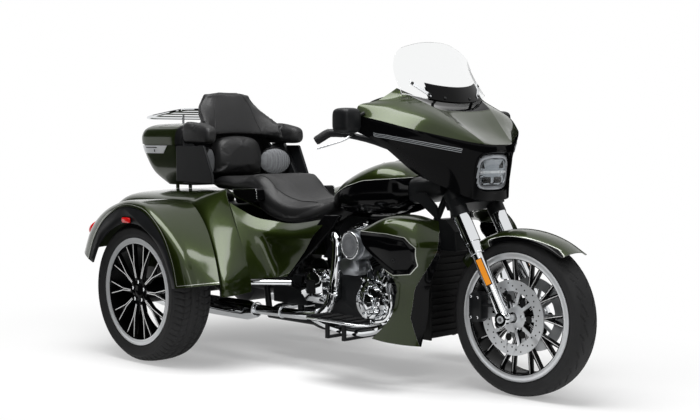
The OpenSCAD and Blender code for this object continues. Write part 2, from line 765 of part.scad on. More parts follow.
module trunk_door() {
  color("#4a5032") {
    loft([for (s = [[-1376, 404, 352, 674], [-1372, 424, 336, 684], [-1362, 436, 326, 690],
      [-1346, 438, 324, 688]])
      ring_x(s[0], s[1], s[2], s[3], 0.3, 32)]);
    for (y = [-300, 300])
      translate([hinge_door[0], y - 16, hinge_door[2]])
        rotate([-90, 0, 0])
          difference() {
            union() {
              cylinder(h = 36, r = hinge_r + 5);
              translate([-16, -2, 0])
                cube([14, 34, 36]);
            }
            translate([0, 0, -1])
              cylinder(h = 38, r = hinge_r + pin_gap);
          }
  }
}

module top_case_lid() {
  n = 32;
  down = trace([for (k = [len(LID) - 1:-1:0]) LID[k]], 8);
  last = len(down) - 1;
  color("#3c4229")
    loft(concat([for (k = [1:last]) let (s = down[k])
      ring_z(s[0], s[1] + case_wall, s[2] - case_wall, s[3] - case_wall, 0.34, n) - [for (j = [1:n])
        [0, 0, k < last ? case_wall : 0]]],
      [for (k = [last:-1:0]) let (s = down[k]) ring_z(s[0], s[1], s[2], s[3], 0.34, n)]));
  color("#3c4229")
    for (x = [-70, 40])
      translate(hinge_lid + [x, 0, 0])
        difference() {
          union() {
            rotate([0, 90, 0])
              cylinder(h = 30, r = hinge_r + 5);
            translate([0, -26, 9])
              cube([30, 26, 9]);
          }
          translate([-1, 0, 0])
            rotate([0, 90, 0])
              cylinder(h = 32, r = hinge_r + pin_gap);
        }
}

module backrest() {
  color("#17181a") {
    panel(back_net, 10, 14, 34);
    mirrored() {
      loft([for (s = [[-988, 34, 1008, 1090, -262], [-950, 36, 1006, 1087, -264],
        [-880, 32, 1006, 1070, -272], [-815, 22, 1006, 1044, -284], [-786, 10, 1009, 1028, -291]])
        ring_x(s[0], s[1], s[2], s[3], 0.7, 16, s[4])]);
      stay([-975, -100, 1075], [-997.2 + seat_gap + 8, -110, 1050], 8);
    }
  }
}

// Height of the rack rails, which rise to the front
function rack_z(x) = 1126 + 0.12 * (x + 1392);
module luggage_rack() {
  rail = [[-1392, 0], [-1392, -130], [-1386, -214], [-1340, -244], [-1220, -246], [-1110, -240],
    [-1058, -196], [-1046, 0]];
  color("#c9ccd0") {
    mirrored() {
      pipe(trace([for (p = rail) [p[0], p[1], rack_z(p[0])]], 26), rack_r, 10);
      for (x = [-1225, -1075])
        rod([x, -120, 1099 + seat_gap], [x, -120, rack_z(x)], 6);
    }
    for (x = [-1310, -1225, -1150, -1075])
      rod([x, -243, rack_z(x)], [x, 243, rack_z(x)], 5);
  }
}

module triple_clamp() {
  color("#1d1e20") {
    on_head(760)
      cylinder(h = 170, r = stem_r);
    on_head(770) {
      translate([0, 0, -clamp_drop])
        linear_extrude(height = 30)
          polygon([[-38, -56], [-10, -152], [52, -152], [66, -60], [66, 60], [52, 152], [-10, 152],
            [-38, 56]]);
    }
    mirrored()
      stay([498, -62, 918], behind(dash_net, dash_cut, 6, 11, 6, 8), 8);
    on_head(900)
      linear_extrude(height = 24)
        polygon([[-40, -60], [-10, -150], [50, -150], [60, -60], [60, 60], [50, 150], [-10, 150], [-40, 60]]);
  }
}

// The legs run from the front axle to the underside of the lower clamp
fork_low = [front_x + 4, 0, front_tyre_r - 4];
clamp_foot = in_head(770, clamp_x, -clamp_drop);
fork_lean = atan2(fork_low[0] - clamp_foot[0], clamp_foot[2] - fork_low[2]);
fork_top = in_head(770, clamp_x, -clamp_drop - seat_gap - 0.1 - fork_r * abs(sin(fork_lean - rake)));
fork_len = norm(fork_top - fork_low);
fork_dir = (fork_top - fork_low) / fork_len;
module fork_legs() {
  color("#cfd2d6")
    mirrored()
      difference() {
        union() {
          rod(fork_low - [0, fork_y, 0], fork_top - [0, fork_y, 0], fork_r - 4);
          rod(fork_top - (fork_len - 292) * fork_dir - [0, fork_y, 0], fork_top - [0, fork_y, 0], fork_r);
        }
        rod([front_x, -axle_end - 1, front_tyre_r], [front_x, 0, front_tyre_r], front_axle_r + seat_gap);
      }
}

module front_fender() {
  strap = fork_low + 0.888 * front_fender_r * fork_dir;
  color("#4a5032") {
    panel(front_fender_net, 16, 12, panel_t);
    mirrored()
      rod(strap - [0, front_fender_hw - 3, 0], strap - [0, fork_y - fork_r - seat_gap, 0], 9);
  }
}

module fairing_upper() {
  color("#4a5032")
    panel(fairing_net, 8, 24, panel_t, 0, 1.996);
}

module lamp_body(x0, x1, grow) {
  loft([for (x = [x0, x1]) ring_x(x, lamp_hw + grow, 814 - grow, 958 + grow, 0.45, 28)]);
}

module fairing_lower() {
  color("#0f1011")
    difference() {
      panel(fairing_net, 8, 24, panel_t, 2.004, 4);
      lamp_body(640, 760, seat_gap + 0.1);
    }
}

module inner_fairing() {
  color("#161718") {
    panel(dash_net, dash_cut[0], dash_cut[1], 6);
    mirrored() {
      stay(on_net(dash_net, 1.0, 6.0), behind(fairing_net, fairing_cut, 5, 5, panel_t, 8), 8);
      stay(on_net(dash_net, 1.4, 6.0), behind(fairing_net, fairing_cut, 10, 5, panel_t, 8), 8);
    }
    panel(screen_net, 3, 16, 6, 2.4, 3, inset = screen_t + seat_gap);
    mirrored()
      rod(on_net(dash_net, 0.3, 5.2) + [4, 0, 0],
        on_net(screen_net, 2.8, 3.9) - (screen_t + 6) * net_normal(screen_net, 2.8, 3.9), 6);
  }
}

module windshield() {
  color("#c8ced2", 0.4)
    panel(screen_net, 10, 16, screen_t);
}

module headlamp() {
  color("#c8ccd0")
    lamp_body(642, 704, 0);
}

module handlebar() {
  color("#1a1b1c") {
    mirrored()
      pipe(trace([[134, -474, 1014], [158, -457, 1032], [181, -440, 1047], [222, -409, 1046]], 6),
        bar_r + 4, 12);
    pipe(trace([[140, -470, 1019], [181, -440, 1049], [300, -345, 1022], [395, -240, 974], [456, -110, 952],
      [468, 0, 950], [456, 110, 952], [395, 240, 974], [300, 345, 1022], [181, 440, 1049], [140, 470, 1019]],
      40), bar_r, 12);
  }
}

module mirrors() {
  color("#121314")
    mirrored() {
      stay([330, -470, 1100], ahead(fairing_net, fairing_cut, 6, 1, 7), 7);
      loft([for (s = [[282, 40, 1052, 1140], [292, 46, 1046, 1146], [348, 46, 1046, 1146],
        [368, 36, 1056, 1136]])
        ring_x(s[0], s[1], s[2], s[3], 0.5, 20, -484)]);
    }
}

module brake_calipers() {
  color("#151617")
    mirrored() {
      translate([front_x - 145.5, -80, front_tyre_r + 33])
        rotate([90, 0, 0])
          plate(60, 120, 46, 16);
      stay([front_x - 135.5, -108, front_tyre_r + 41], fork_low + 80 * fork_dir
        - (fork_r - 4 + seat_gap + 9) * [fork_dir[2], 0, -fork_dir[0]] - [0, fork_y, 0], 9);
    }
}

module front_axle() {
  color("#aeb2b6")
    difference() {
      rod([front_x, -axle_end, front_tyre_r], [front_x, axle_end, front_tyre_r], front_axle_r);
      rod([front_x, -axle_end - 1, front_tyre_r], [front_x, axle_end + 1, front_tyre_r], axle_bore_r);
    }
}

// Wheel pieces lie with their axis on Y, middle plane at y = 0
module turned() {
  rotate([90, 0, 0])
    rotate_extrude($fn = 96)
      children();
}

module tyre(r, w, bead) {
  turned()
    polygon([[bead, -w * 0.4], [bead + 16, -w * 0.46], [lerp(bead, r, 0.55), -w * 0.5],
      [r - w * 0.13, -w * 0.46], [r - w * 0.045, -w * 0.37], [r - w * 0.008, -w * 0.2], [r, 0],
      [r - w * 0.008, w * 0.2], [r - w * 0.045, w * 0.37], [r - w * 0.13, w * 0.46],
      [lerp(bead, r, 0.55), w * 0.5], [bead + 16, w * 0.46], [bead, w * 0.4]]);
}

module rim(r, w, hub_r, hub_w, bore, face) {
  difference() {
    union() {
      turned()
        polygon([[r - 26, -w * 0.42], [r - 0.5, -w * 0.42], [r - 0.5, -w * 0.3], [r - 12, -w * 0.28],
          [r - 12, w * 0.28], [r - 0.5, w * 0.3], [r - 0.5, w * 0.42], [r - 26, w * 0.42], [r - 22, w * 0.2],
          [r - 22, -w * 0.2]]);
      rotate([90, 0, 0])
        translate([0, 0, -hub_w / 2])
          cylinder(h = hub_w, r = hub_r);
      for (k = [0:spokes - 1])
        rotate([0, k * 360 / spokes, 0])
          translate([0, face, 0])
            rotate([90, 0, 0])
              spoke(r - 20, hub_r - 4);
    }
    rotate([90, 0, 0])
      translate([0, 0, -hub_w])
        cylinder(h = 2 * hub_w, r = bore);
  }
}

module spoke(r, r0) {
  tip = r * tan(7.2);
  root = lerp(r0, r, 0.42);
  linear_extrude(height = 20)
    polygon([[r0, -prong_w], [root, -prong_w * 0.8], [r, -tip - prong_w / 2], [r, -tip + prong_w / 2],
      [root + 26, 0], [r, tip - prong_w / 2], [r, tip + prong_w / 2], [root, prong_w * 0.8], [r0, prong_w]]);
}

module front_wheel_at() {
  translate([front_x, 0, front_tyre_r])
    children();
}
module rear_wheel_at(side) {
  translate([rear_x, side * rear_wheel_y, rear_tyre_r])
    children();
}

module front_tyre() {
  color("#1b1b1c")
    front_wheel_at()
      tyre(front_tyre_r, front_tyre_w, front_rim_r);
}
module front_rim() {
  color("#2b2c2e")
    front_wheel_at()
      rim(front_rim_r, front_tyre_w, 42, 120, front_axle_r + pin_gap, 10);
}
module front_discs() {
  color("#b9bcc0")
    front_wheel_at()
      mirrored()
        translate([0, -66, 0])
          rotate([90, 0, 0])
            difference() {
              union() {
                difference() {
                  cylinder(h = 5, r = disc_r);
                  translate([0, 0, -1])
                    cylinder(h = 7, r = disc_r - disc_band);
                }
                for (k = [0:disc_arms - 1])
                  rotate([0, 0, k * 360 / disc_arms])
                    translate([40, -7, 0])
                      cube([disc_r - disc_band - 36, 14, 5]);
                cylinder(h = 5, r = 58);
                translate([0, 0, -6 + seat_gap])
                  cylinder(h = 8, r = 38);
              }
              translate([0, 0, -20])
                cylinder(h = 40, r = front_axle_r + 8);
            }
}
module rear_tyre_right() {
  color("#1b1b1c")
    rear_wheel_at(-1)
      tyre(rear_tyre_r, rear_tyre_w, rear_rim_r);
}
module rear_rim_right() {
  color("#2b2c2e")
    rear_wheel_at(-1)
      rim(rear_rim_r, rear_tyre_w, 56, 150, rear_axle_r + pin_gap, -60);
}
module rear_tyre_left() {
  mirror([0, 1, 0])
    rear_tyre_right();
}
module rear_rim_left() {
  mirror([0, 1, 0])
    rear_rim_right();
}

translate([-mid_x, 0, 0]) {
  frame();
  engine_cases();
  cylinders();
  rocker_covers();
  cam_cover();
  gearbox_cover();
  primary_cover();
  air_cleaner();
  exhaust_pipes();
  mufflers();
  fuel_tank();
  seat();
  side_cover_right();
  side_cover_left();
  lower_fairing_right();
  lower_fairing_left();
  radiator();
  rear_body();
  trunk_tub();
  rear_fender_right();
  rear_fender_left();
  arch_trims();
  rear_lamps();
  top_case_base();
  lower_back_pad();
  speaker_pods();
  rear_axle();
  footboards();
  passenger_pegs();
  foot_controls();
  trunk_door();
  top_case_lid();
  backrest();
  luggage_rack();
  triple_clamp();
  fork_legs();
  front_fender();
  fairing_upper();
  fairing_lower();
  inner_fairing();
  windshield();
  headlamp();
  handlebar();
  mirrors();
  brake_calipers();
  front_axle();
  front_tyre();
  front_rim();
  front_discs();
  rear_tyre_right();
  rear_rim_right();
  rear_tyre_left();
  rear_rim_left();
}
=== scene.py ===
"""Studio dressing of a touring trike: painted skins, finishes, small parts, light and camera."""
import logging
import math
from abc import ABC, abstractmethod
from dataclasses import dataclass
from enum import Enum
from typing import Callable, ClassVar, Optional, Sequence

import bmesh
import bpy
import numpy as np
from mathutils import Matrix, Vector
from mathutils.bvhtree import BVHTree


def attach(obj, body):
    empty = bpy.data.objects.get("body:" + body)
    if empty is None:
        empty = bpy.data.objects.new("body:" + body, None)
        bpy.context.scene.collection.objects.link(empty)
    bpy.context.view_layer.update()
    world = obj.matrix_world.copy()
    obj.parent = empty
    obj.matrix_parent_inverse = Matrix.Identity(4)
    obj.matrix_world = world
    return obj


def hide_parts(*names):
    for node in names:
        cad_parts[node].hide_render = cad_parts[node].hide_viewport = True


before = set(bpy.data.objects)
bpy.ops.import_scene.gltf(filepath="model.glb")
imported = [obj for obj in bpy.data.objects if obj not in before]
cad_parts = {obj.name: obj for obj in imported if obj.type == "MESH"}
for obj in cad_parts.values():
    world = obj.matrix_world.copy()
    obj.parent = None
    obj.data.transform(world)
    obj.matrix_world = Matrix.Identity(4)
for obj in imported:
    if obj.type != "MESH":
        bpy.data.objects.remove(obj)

LOG = logging.getLogger("trike")
Array = np.ndarray
Piece = bpy.types.Object
Tree = bpy.types.NodeTree
Socket = bpy.types.NodeSocket
Node = bpy.types.Node
Material = bpy.types.Material
Mesh = bpy.types.Mesh
Line = Callable[[Array], Array]

# Sizes below are in millimetres in the drawing's own frame, whose x is 0 midway between the axles.
MID_X = -122.75
FRONT_AXLE = np.array([835.5, 0.0, 319.0])
REAR_AXLE = np.array([-835.5, 0.0, 325.0])


def to_row(points: Array) -> Array:
    """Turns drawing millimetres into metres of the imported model's frame."""
    return (np.asarray(points, float) - [MID_X, 0.0, 0.0]) * 0.001


def linear(code: str) -> tuple[float, float, float, float]:
    """Turns an sRGB hex colour into linear RGBA.

    Args:
        code: Colour such as "#4c5733".

    Returns:
        Linear red, green, blue and an alpha of 1.
    """
    parts = [int(code[k:k + 2], 16) / 255 for k in (1, 3, 5)]
    red, green, blue = (c / 12.92 if c <= 0.04045 else ((c + 0.055) / 1.055) ** 2.4 for c in parts)
    return red, green, blue, 1.0


def add(tree: Tree, kind: str, links: Optional[dict] = None, **settings) -> Node:
    """Adds a node with its settings and links.

    Args:
        tree: Node tree that gets the node.
        kind: Node type name.
        links: Input name or number mapped to a value or to another node's output.
        **settings: Node properties.

    Returns:
        The new node.
    """
    node = tree.nodes.new(kind)
    for key, value in settings.items():
        setattr(node, key, value)
    for key, value in (links or {}).items():
        if isinstance(value, Socket):
            tree.links.new(value, node.inputs[key])
        else:
            node.inputs[key].default_value = value
    return node


def bare(name: str) -> Material:
    """Makes a material with an empty node tree.

    Args:
        name: Its name.

    Returns:
        The material.
    """
    made = bpy.data.materials.new(name)
    made.use_nodes = True
    made.node_tree.nodes.clear()
    return made


def linked(name: str, data: bpy.types.ID) -> Piece:
    """Adds an object to the scene.

    Args:
        name: Its name.
        data: Mesh, lamp or camera that it shows.

    Returns:
        The object.
    """
    obj = bpy.data.objects.new(name, data)
    bpy.context.scene.collection.objects.link(obj)
    return obj


def smooth(mesh: Mesh, sharp_deg: float) -> None:
    """Shades a mesh smooth, apart from edges sharper than sharp_deg."""
    mesh.polygons.foreach_set("use_smooth", [True] * len(mesh.polygons))
    mesh.set_sharp_from_angle(angle=math.radians(sharp_deg))


def turns(count: int) -> Array:
    """Returns count angles spread evenly round a circle."""
    return np.linspace(0, 2 * np.pi, count, endpoint=False)


@dataclass(frozen=True)
class Finish(ABC):
    """A surface finish that becomes one node material."""

    name: str

    def material(self) -> Material:
        """Returns the material, made the first time it is asked for."""
        made = bpy.data.materials.get(self.name)
        if made is None:
            made = bare(self.name)
            spot = add(made.node_tree, "ShaderNodeTexCoord").outputs["Object"]
            shader = self.shade(made.node_tree, spot)
            add(made.node_tree, "ShaderNodeOutputMaterial", {"Surface": shader.outputs[0]})
        return made

    @abstractmethod
    def shade(self, tree: Tree, spot: Socket) -> Node:
        """Builds the shader.

        Args:
            tree: The material's node tree.
            spot: Places on the piece.

        Returns:
            The last shader node.
        """


@dataclass(frozen=True)
class MetallicPaint(Finish):
    """Base coat with metal flake under clear lacquer, parted from black by a silver line.

    The flake gives a soft sparkle and a wide bright band where light falls, and the lacquer a sharp reflection.
    The line is where the piece's paint_line attribute, in millimetres, is zero; below zero the paint is black.
    """

    upper: str = "#141b06"
    flake: str = "#40501b"
    lower: str = "#040405"
    lower_rough: float = 0.1
    line: str = "#b9bcb4"
    line_half: float = 1.1
    parted: bool = False
    lined: bool = False

    def shade(self, tree: Tree, spot: Socket) -> Node:
        """Mixes the two coats and the line by the attribute."""
        # Flake is 0.1 mm wide in the can, drawn at 1.2 mm so that it shows.
        flakes = add(tree, "ShaderNodeTexNoise", {"Vector": spot, "Scale": 830.0, "Detail": 2.0})
        share = add(tree, "ShaderNodeMapRange", {"Value": flakes.outputs[0], "To Min": 0.0, "To Max": 0.4})
        coat = add(tree, "ShaderNodeMix", {0: share.outputs["Result"], 6: linear(self.upper), 7: linear(self.flake)},
                   data_type="RGBA").outputs[2]
        peel = add(tree, "ShaderNodeTexNoise", {"Vector": spot, "Scale": 140.0, "Detail": 1.0})
        bump = add(tree, "ShaderNodeBump", {"Height": peel.outputs[0], "Strength": 0.012, "Distance": 0.001})
        away = add(tree, "ShaderNodeAttribute", attribute_name="paint_line").outputs["Fac"]
        links = {"Metallic": 0.7, "Roughness": 0.36, "Coat Weight": 1.0, "Coat Roughness": 0.1, "Coat IOR": 1.4,
                 "Specular IOR Level": 0.06, "Coat Normal": bump.outputs[0]}
        if self.parted:
            dark = add(tree, "ShaderNodeMath", {0: away, 1: 0.0}, operation="LESS_THAN").outputs[0]
            coat = add(tree, "ShaderNodeMix", {0: dark, 6: coat, 7: linear(self.lower)}, data_type="RGBA").outputs[2]
            for label, over, under in (("Metallic", 0.7, 0.0), ("Roughness", 0.36, self.lower_rough),
                                       ("Coat Weight", 1.0, 0.2)):
                mixed = add(tree, "ShaderNodeMapRange", {"Value": dark, "To Min": over, "To Max": under})
                links[label] = mixed.outputs["Result"]
        if self.lined:
            near = add(tree, "ShaderNodeMath", {0: away, 1: 0.0, 2: self.line_half}, operation="COMPARE").outputs[0]
            coat = add(tree, "ShaderNodeMix", {0: near, 6: coat, 7: linear(self.line)}, data_type="RGBA").outputs[2]
        return add(tree, "ShaderNodeBsdfPrincipled", {"Base Color": coat, **links})


@dataclass(frozen=True)
class GlossPlastic(Finish):
    """Moulded plastic under lacquer: deep colour with a sharp reflection and a trace of orange peel."""

    colour: str = "#050506"
    rough: float = 0.08

    def shade(self, tree: Tree, spot: Socket) -> Node:
        """Shades one deep colour with a faint wave in the surface."""
        peel = add(tree, "ShaderNodeTexNoise", {"Vector": spot, "Scale": 160.0, "Detail": 1.0})
        bump = add(tree, "ShaderNodeBump", {"Height": peel.outputs[0], "Strength": 0.015, "Distance": 0.001})
        tint = add(tree, "ShaderNodeMix", {0: peel.outputs[0], 6: linear(self.colour), 7: linear("#0a0a0b")},
                   data_type="RGBA")
        return add(tree, "ShaderNodeBsdfPrincipled", {
            "Base Color": tint.outputs[2], "Roughness": self.rough, "Specular IOR Level": 0.07,
            "Normal": bump.outputs[0]})


@dataclass(frozen=True)
class PowderCoat(Finish):
    """Baked powder coat: a dark, even skin with a fine pebbled surface that spreads the highlights."""

    colour: str = "#0d0e0f"
    worn: str = "#17181a"
    rough: float = 0.42
    grain_mm: float = 1.2

    def shade(self, tree: Tree, spot: Socket) -> Node:
        """Shades the pebbled coat."""
        grain = add(tree, "ShaderNodeTexNoise", {"Vector": spot, "Scale": 1000 / self.grain_mm, "Detail": 2.0})
        cloud = add(tree, "ShaderNodeTexNoise", {"Vector": spot, "Scale": 14.0, "Detail": 3.0})
        tint = add(tree, "ShaderNodeMix", {0: cloud.outputs[0], 6: linear(self.colour), 7: linear(self.worn)},
                   data_type="RGBA")
        bump = add(tree, "ShaderNodeBump", {"Height": grain.outputs[0], "Strength": 0.12, "Distance": 0.0004})
        sheen = add(tree, "ShaderNodeMapRange", {"Value": grain.outputs[0], "To Min": self.rough - 0.06,
                                                 "To Max": self.rough + 0.08})
        return add(tree, "ShaderNodeBsdfPrincipled", {
            "Base Color": tint.outputs[2], "Roughness": sheen.outputs["Result"],
            "Specular IOR Level": 0.2, "Normal": bump.outputs[0]})


@dataclass(frozen=True)
class BrightMetal(Finish):
    """Bare or plated metal: chrome mirrors the studio, turned and ground metal blurs it along fine marks."""

    colour: str = "#d9dbde"
    rough: float = 0.05
    mark_mm: float = 0.0
    spread: float = 0.03
    metal: float = 1.0

    def shade(self, tree: Tree, spot: Socket) -> Node:
        """Shades the metal, with fine marks where it was turned or ground."""
        haze = add(tree, "ShaderNodeTexNoise", {"Vector": spot, "Scale": 22.0, "Detail": 4.0})
        sheen = add(tree, "ShaderNodeMapRange", {"Value": haze.outputs[0],
                                                 "To Min": max(0.01, self.rough - self.spread),
                                                 "To Max": self.rough + self.spread})
        links = {"Base Color": linear(self.colour), "Metallic": self.metal,
                 "Roughness": sheen.outputs["Result"]}
        if self.mark_mm:
            marks = add(tree, "ShaderNodeTexNoise", {"Vector": spot, "Scale": 1000 / self.mark_mm, "Detail": 2.0})
            links["Normal"] = add(tree, "ShaderNodeBump", {"Height": marks.outputs[0], "Strength": 0.08,
                                                           "Distance": 0.0003}).outputs[0]
        return add(tree, "ShaderNodeBsdfPrincipled", links)


@dataclass(frozen=True)
class GrainedVinyl(Finish):
    """Embossed vinyl over foam: a soft black with a pebble grain that breaks up the sheen."""

    colour: str = "#161617"
    # The darker crease colour in the valleys between the pebbles is painted shade.
    crease_shade: str = "#101011"
    grain_mm: float = 2.6

    def shade(self, tree: Tree, spot: Socket) -> Node:
        """Shades the grain with painted shade in its valleys; real pebbles are 1.2 mm, drawn coarser so that they show.
        """
        cells = add(tree, "ShaderNodeTexVoronoi", {"Vector": spot, "Scale": 1000 / self.grain_mm},
                    feature="DISTANCE_TO_EDGE")
        depth = add(tree, "ShaderNodeMapRange", {"Value": cells.outputs[0], "From Max": 0.18}).outputs["Result"]
        tint = add(tree, "ShaderNodeMix", {0: depth, 6: linear(self.crease_shade), 7: linear(self.colour)}, data_type="RGBA")
        bump = add(tree, "ShaderNodeBump", {"Height": depth, "Strength": 0.16, "Distance": 0.0005})
        sheen = add(tree, "ShaderNodeMapRange", {"Value": depth, "To Min": 0.62, "To Max": 0.46})
        return add(tree, "ShaderNodeBsdfPrincipled", {
            "Base Color": tint.outputs[2], "Roughness": sheen.outputs["Result"], "Specular IOR Level": 0.42,
            "Normal": bump.outputs[0]})


@dataclass(frozen=True)
class Rubber(Finish):
    """Moulded rubber: a dry, dark surface with a slight bloom."""

    colour: str = "#121213"
    bloom: str = "#202021"
    rough: float = 0.72

    def shade(self, tree: Tree, spot: Socket) -> Node:
        """Shades the rubber with a cloudy bloom and a fine skin."""
        cloud = add(tree, "ShaderNodeTexNoise", {"Vector": spot, "Scale": 18.0, "Detail": 5.0})
        skin = add(tree, "ShaderNodeTexNoise", {"Vector": spot, "Scale": 700.0, "Detail": 2.0})
        tint = add(tree, "ShaderNodeMix", {0: cloud.outputs[0], 6: linear(self.colour), 7: linear(self.bloom)},
                   data_type="RGBA")
        bump = add(tree, "ShaderNodeBump", {"Height": skin.outputs[0], "Strength": 0.1, "Distance": 0.0004})
        return add(tree, "ShaderNodeBsdfPrincipled", {
            "Base Color": tint.outputs[2], "Roughness": self.rough, "Specular IOR Level": 0.35,
            "Normal": bump.outputs[0]})


@dataclass(frozen=True)
class ClearPlastic(Finish):
    """Clear or dyed polycarbonate: light passes through and the edges and reflections show its shape."""

    colour: str = "#eef1f2"
    rough: float = 0.02
    through: float = 1.0
    # The glow is emission that brightens a dyed lens: painted light.
    painted_glow: float = 0.0
    bend: float = 1.2

    def shade(self, tree: Tree, spot: Socket) -> Node:
        """Shades the sheet or lens with a faint moulding wave and its painted glow."""
        wave = add(tree, "ShaderNodeTexNoise", {"Vector": spot, "Scale": 40.0, "Detail": 1.0})
        bump = add(tree, "ShaderNodeBump", {"Height": wave.outputs[0], "Strength": 0.01, "Distance": 0.001})
        return add(tree, "ShaderNodeBsdfPrincipled", {
            "Base Color": linear(self.colour), "Roughness": self.rough, "Transmission Weight": self.through,
            "IOR": self.bend, "Emission Color": linear(self.colour), "Emission Strength": self.painted_glow,
            "Normal": bump.outputs[0]})


@dataclass(frozen=True)
class MeshCloth(Finish):
    """Perforated steel grille: rows of small holes in a grey sheet, painted dark as painted shade."""

    colour: str = "#77797c"
    # The hole colour is painted shade: the holes are painted dark, not cut.
    hole: str = "#141415"
    pitch_mm: float = 5.0

    def shade(self, tree: Tree, spot: Socket) -> Node:
        """Paints the holes dark as painted shade; the real pitch is 3 mm, drawn at 5 mm so that it shows."""
        cells = add(tree, "ShaderNodeTexVoronoi", {"Vector": spot, "Scale": 1000 / self.pitch_mm, "Randomness": 0.0},
                    feature="F1")
        hole = add(tree, "ShaderNodeMath", {0: cells.outputs[0], 1: 0.34}, operation="LESS_THAN").outputs[0]
        tint = add(tree, "ShaderNodeMix", {0: hole, 6: linear(self.colour), 7: linear(self.hole)}, data_type="RGBA")
        return add(tree, "ShaderNodeBsdfPrincipled", {"Base Color": tint.outputs[2], "Roughness": 0.5, "Metallic": 0.3})


class Paint(Enum):
    """Every finish on the trike."""

    OLIVE = MetallicPaint("lacquered_metallic_olive")
    TWO_TONE = MetallicPaint("lacquered_olive_over_black", parted=True, lined=True)
    STRIPED = MetallicPaint("lacquered_olive_with_fine_line", lined=True)
    CASE = MetallicPaint("lacquered_olive_and_satin_black", lower="#141415", lower_rough=0.42, parted=True)
    BLACK = GlossPlastic("lacquered_black_plastic")
    SATIN = PowderCoat("black_powder_coat")
    ENGINE = PowderCoat("wrinkle_black_engine_coat", "#121315", "#1f2123", 0.5, 2.2)
    CHROME = BrightMetal("chrome_plate", "#dcdee0", 0.05)
    TURNED = BrightMetal("turned_aluminium", "#d6d8da", 0.3, 0.9, 0.06, 0.6)
    CAST = BrightMetal("cast_aluminium", "#9a9da1", 0.36, 2.0, 0.08)
    DISC = BrightMetal("ground_disc_steel", "#c6c8ca", 0.32, 0.8, 0.06, 0.6)
    WHEEL = GlossPlastic("black_wheel_lacquer", "#060607", 0.16)
    VINYL = GrainedVinyl("embossed_black_vinyl")
    TYRE = Rubber("tyre_rubber")
    PAD = Rubber("moulded_rubber_pad", "#0f0f10", "#1a1a1b", 0.6)
    SCREEN = ClearPlastic("clear_polycarbonate", "#f5f6f6")
    LENS = ClearPlastic("clear_lamp_cover", "#f4f6f7", 0.01)
    # The red and amber lenses have a faint painted glow.
    RED = ClearPlastic("red_dyed_acrylic", "#c01414", 0.12, 0.15, 0.12, 1.45)
    AMBER = ClearPlastic("amber_dyed_acrylic", "#e08a1e", 0.2, 0.1, 0.1, 1.45)
    LED = ClearPlastic("frosted_light_bar", "#a4a8ab", 0.4, 0.0, 0.0, 1.45)
    GRILLE = MeshCloth("perforated_grille")
    MIRROR = BrightMetal("silvered_glass", "#e6e9eb", 0.01, 0.0, 0.005)
    # Near-black for holes, slots, seams and recesses: painted shade.
    RECESS_SHADE = PowderCoat("painted_recess_shade", "#040404", "#060606", 0.6)

    def make(self) -> Material:
        """Returns the finish's material."""
        return self.value.material()


def weights(count: int, where: Array) -> Array:
    """Weights of a smooth curve through a table's rows.

    Args:
        count: Number of rows.
        where: Places along the table, from 0 to count - 1.

    Returns:
        One row of weights for each place.
    """
    where = np.asarray(where, float)
    first = np.clip(np.floor(where).astype(int), 0, count - 2)
    s = where - first
    parts = (-s + 2 * s**2 - s**3, 2 - 5 * s**2 + 3 * s**3, s + 4 * s**2 - 3 * s**3, -s**2 + s**3)
    out = np.zeros((len(where), count))
    for step, part in zip((-1, 0, 1, 2), parts):
        np.add.at(out, (np.arange(len(where)), np.clip(first + step, 0, count - 1)), 0.5 * part)
    return out


def trace(table: Sequence, count: int) -> Array:
    """Returns count + 1 points of the smooth curve through the table's rows."""
    table = np.asarray(table, float)
    return weights(len(table), np.linspace(0, len(table) - 1, count + 1)) @ table


def both(half: Sequence) -> list:
    """Returns a row that runs from the right edge to the left edge, from its right half."""
    right = [tuple(p) for p in half]
    return right[:0:-1] + [(x, -y, z) for x, y, z in right]


@dataclass(frozen=True)
class Net:
    """A smooth surface through a net of points in drawing millimetres."""

    rows: tuple

    @classmethod
    def of(cls, rows: Sequence, mirrored: bool = False) -> "Net":
        """Makes a net from rows, or from right halves of rows."""
        full = [both(r) if mirrored else [tuple(p) for p in r] for r in rows]
        return cls(tuple(tuple(r) for r in full))

    def grid(self) -> Array:
        """Returns the net's points as an array."""
        return np.asarray(self.rows, float)

    def at(self, u: Array, v: Array) -> Array:
        """Returns the surface's points at places u along the rows and v along each row."""
        net = self.grid()
        return np.einsum("iu,uvk,jv->ijk", weights(net.shape[0], u), net, weights(net.shape[1], v))

    def normal(self, u: Array, v: Array) -> Array:
        """Outward unit normals at the same places as at().

        Args:
            u: Places along the rows.
            v: Places along each row.

        Returns:
            Array of len(u) by len(v) normals.
        """
        e = 0.02
        u, v = np.asarray(u, float), np.asarray(v, float)
        n = np.cross(self.at(u + e, v) - self.at(u - e, v), self.at(u, v + e) - self.at(u, v - e))
        return n / np.linalg.norm(n, axis=2, keepdims=True)

    def spot(self, u: float, v: float, lift: float) -> Array:
        """Returns one point, lifted off the surface."""
        return self.at([u], [v])[0, 0] + lift * self.normal([u], [v])[0, 0]

    def path(self, places: Sequence, count: int, lift: float = 0.0) -> Array:
        """A path on the surface.

        Args:
            places: Rows of u and v that the path goes through.
            count: Number of steps.
            lift: Height above the surface.

        Returns:
            The path's points in millimetres.
        """
        return np.array([self.spot(u, v, lift) for u, v in trace(places, count)])


def mesh_object(name: str, points: Array, faces: Sequence, finish: Paint, sharp_deg: float = 38.0) -> Piece:
    """Makes a smooth-shaded mesh object in the row frame.

    Args:
        name: Piece name.
        points: Points in drawing millimetres.
        faces: Faces as rows of point numbers.
        finish: Finish of the whole piece.
        sharp_deg: Edges sharper than this stay sharp.

    Returns:
        The linked object.
    """
    mesh = bpy.data.meshes.new(name)
    mesh.from_pydata([tuple(p) for p in to_row(np.asarray(points).reshape(-1, 3))], [], [tuple(f) for f in faces])
    mesh.validate()
    mesh.materials.append(finish.make())
    smooth(mesh, sharp_deg)
    return linked(name, mesh)


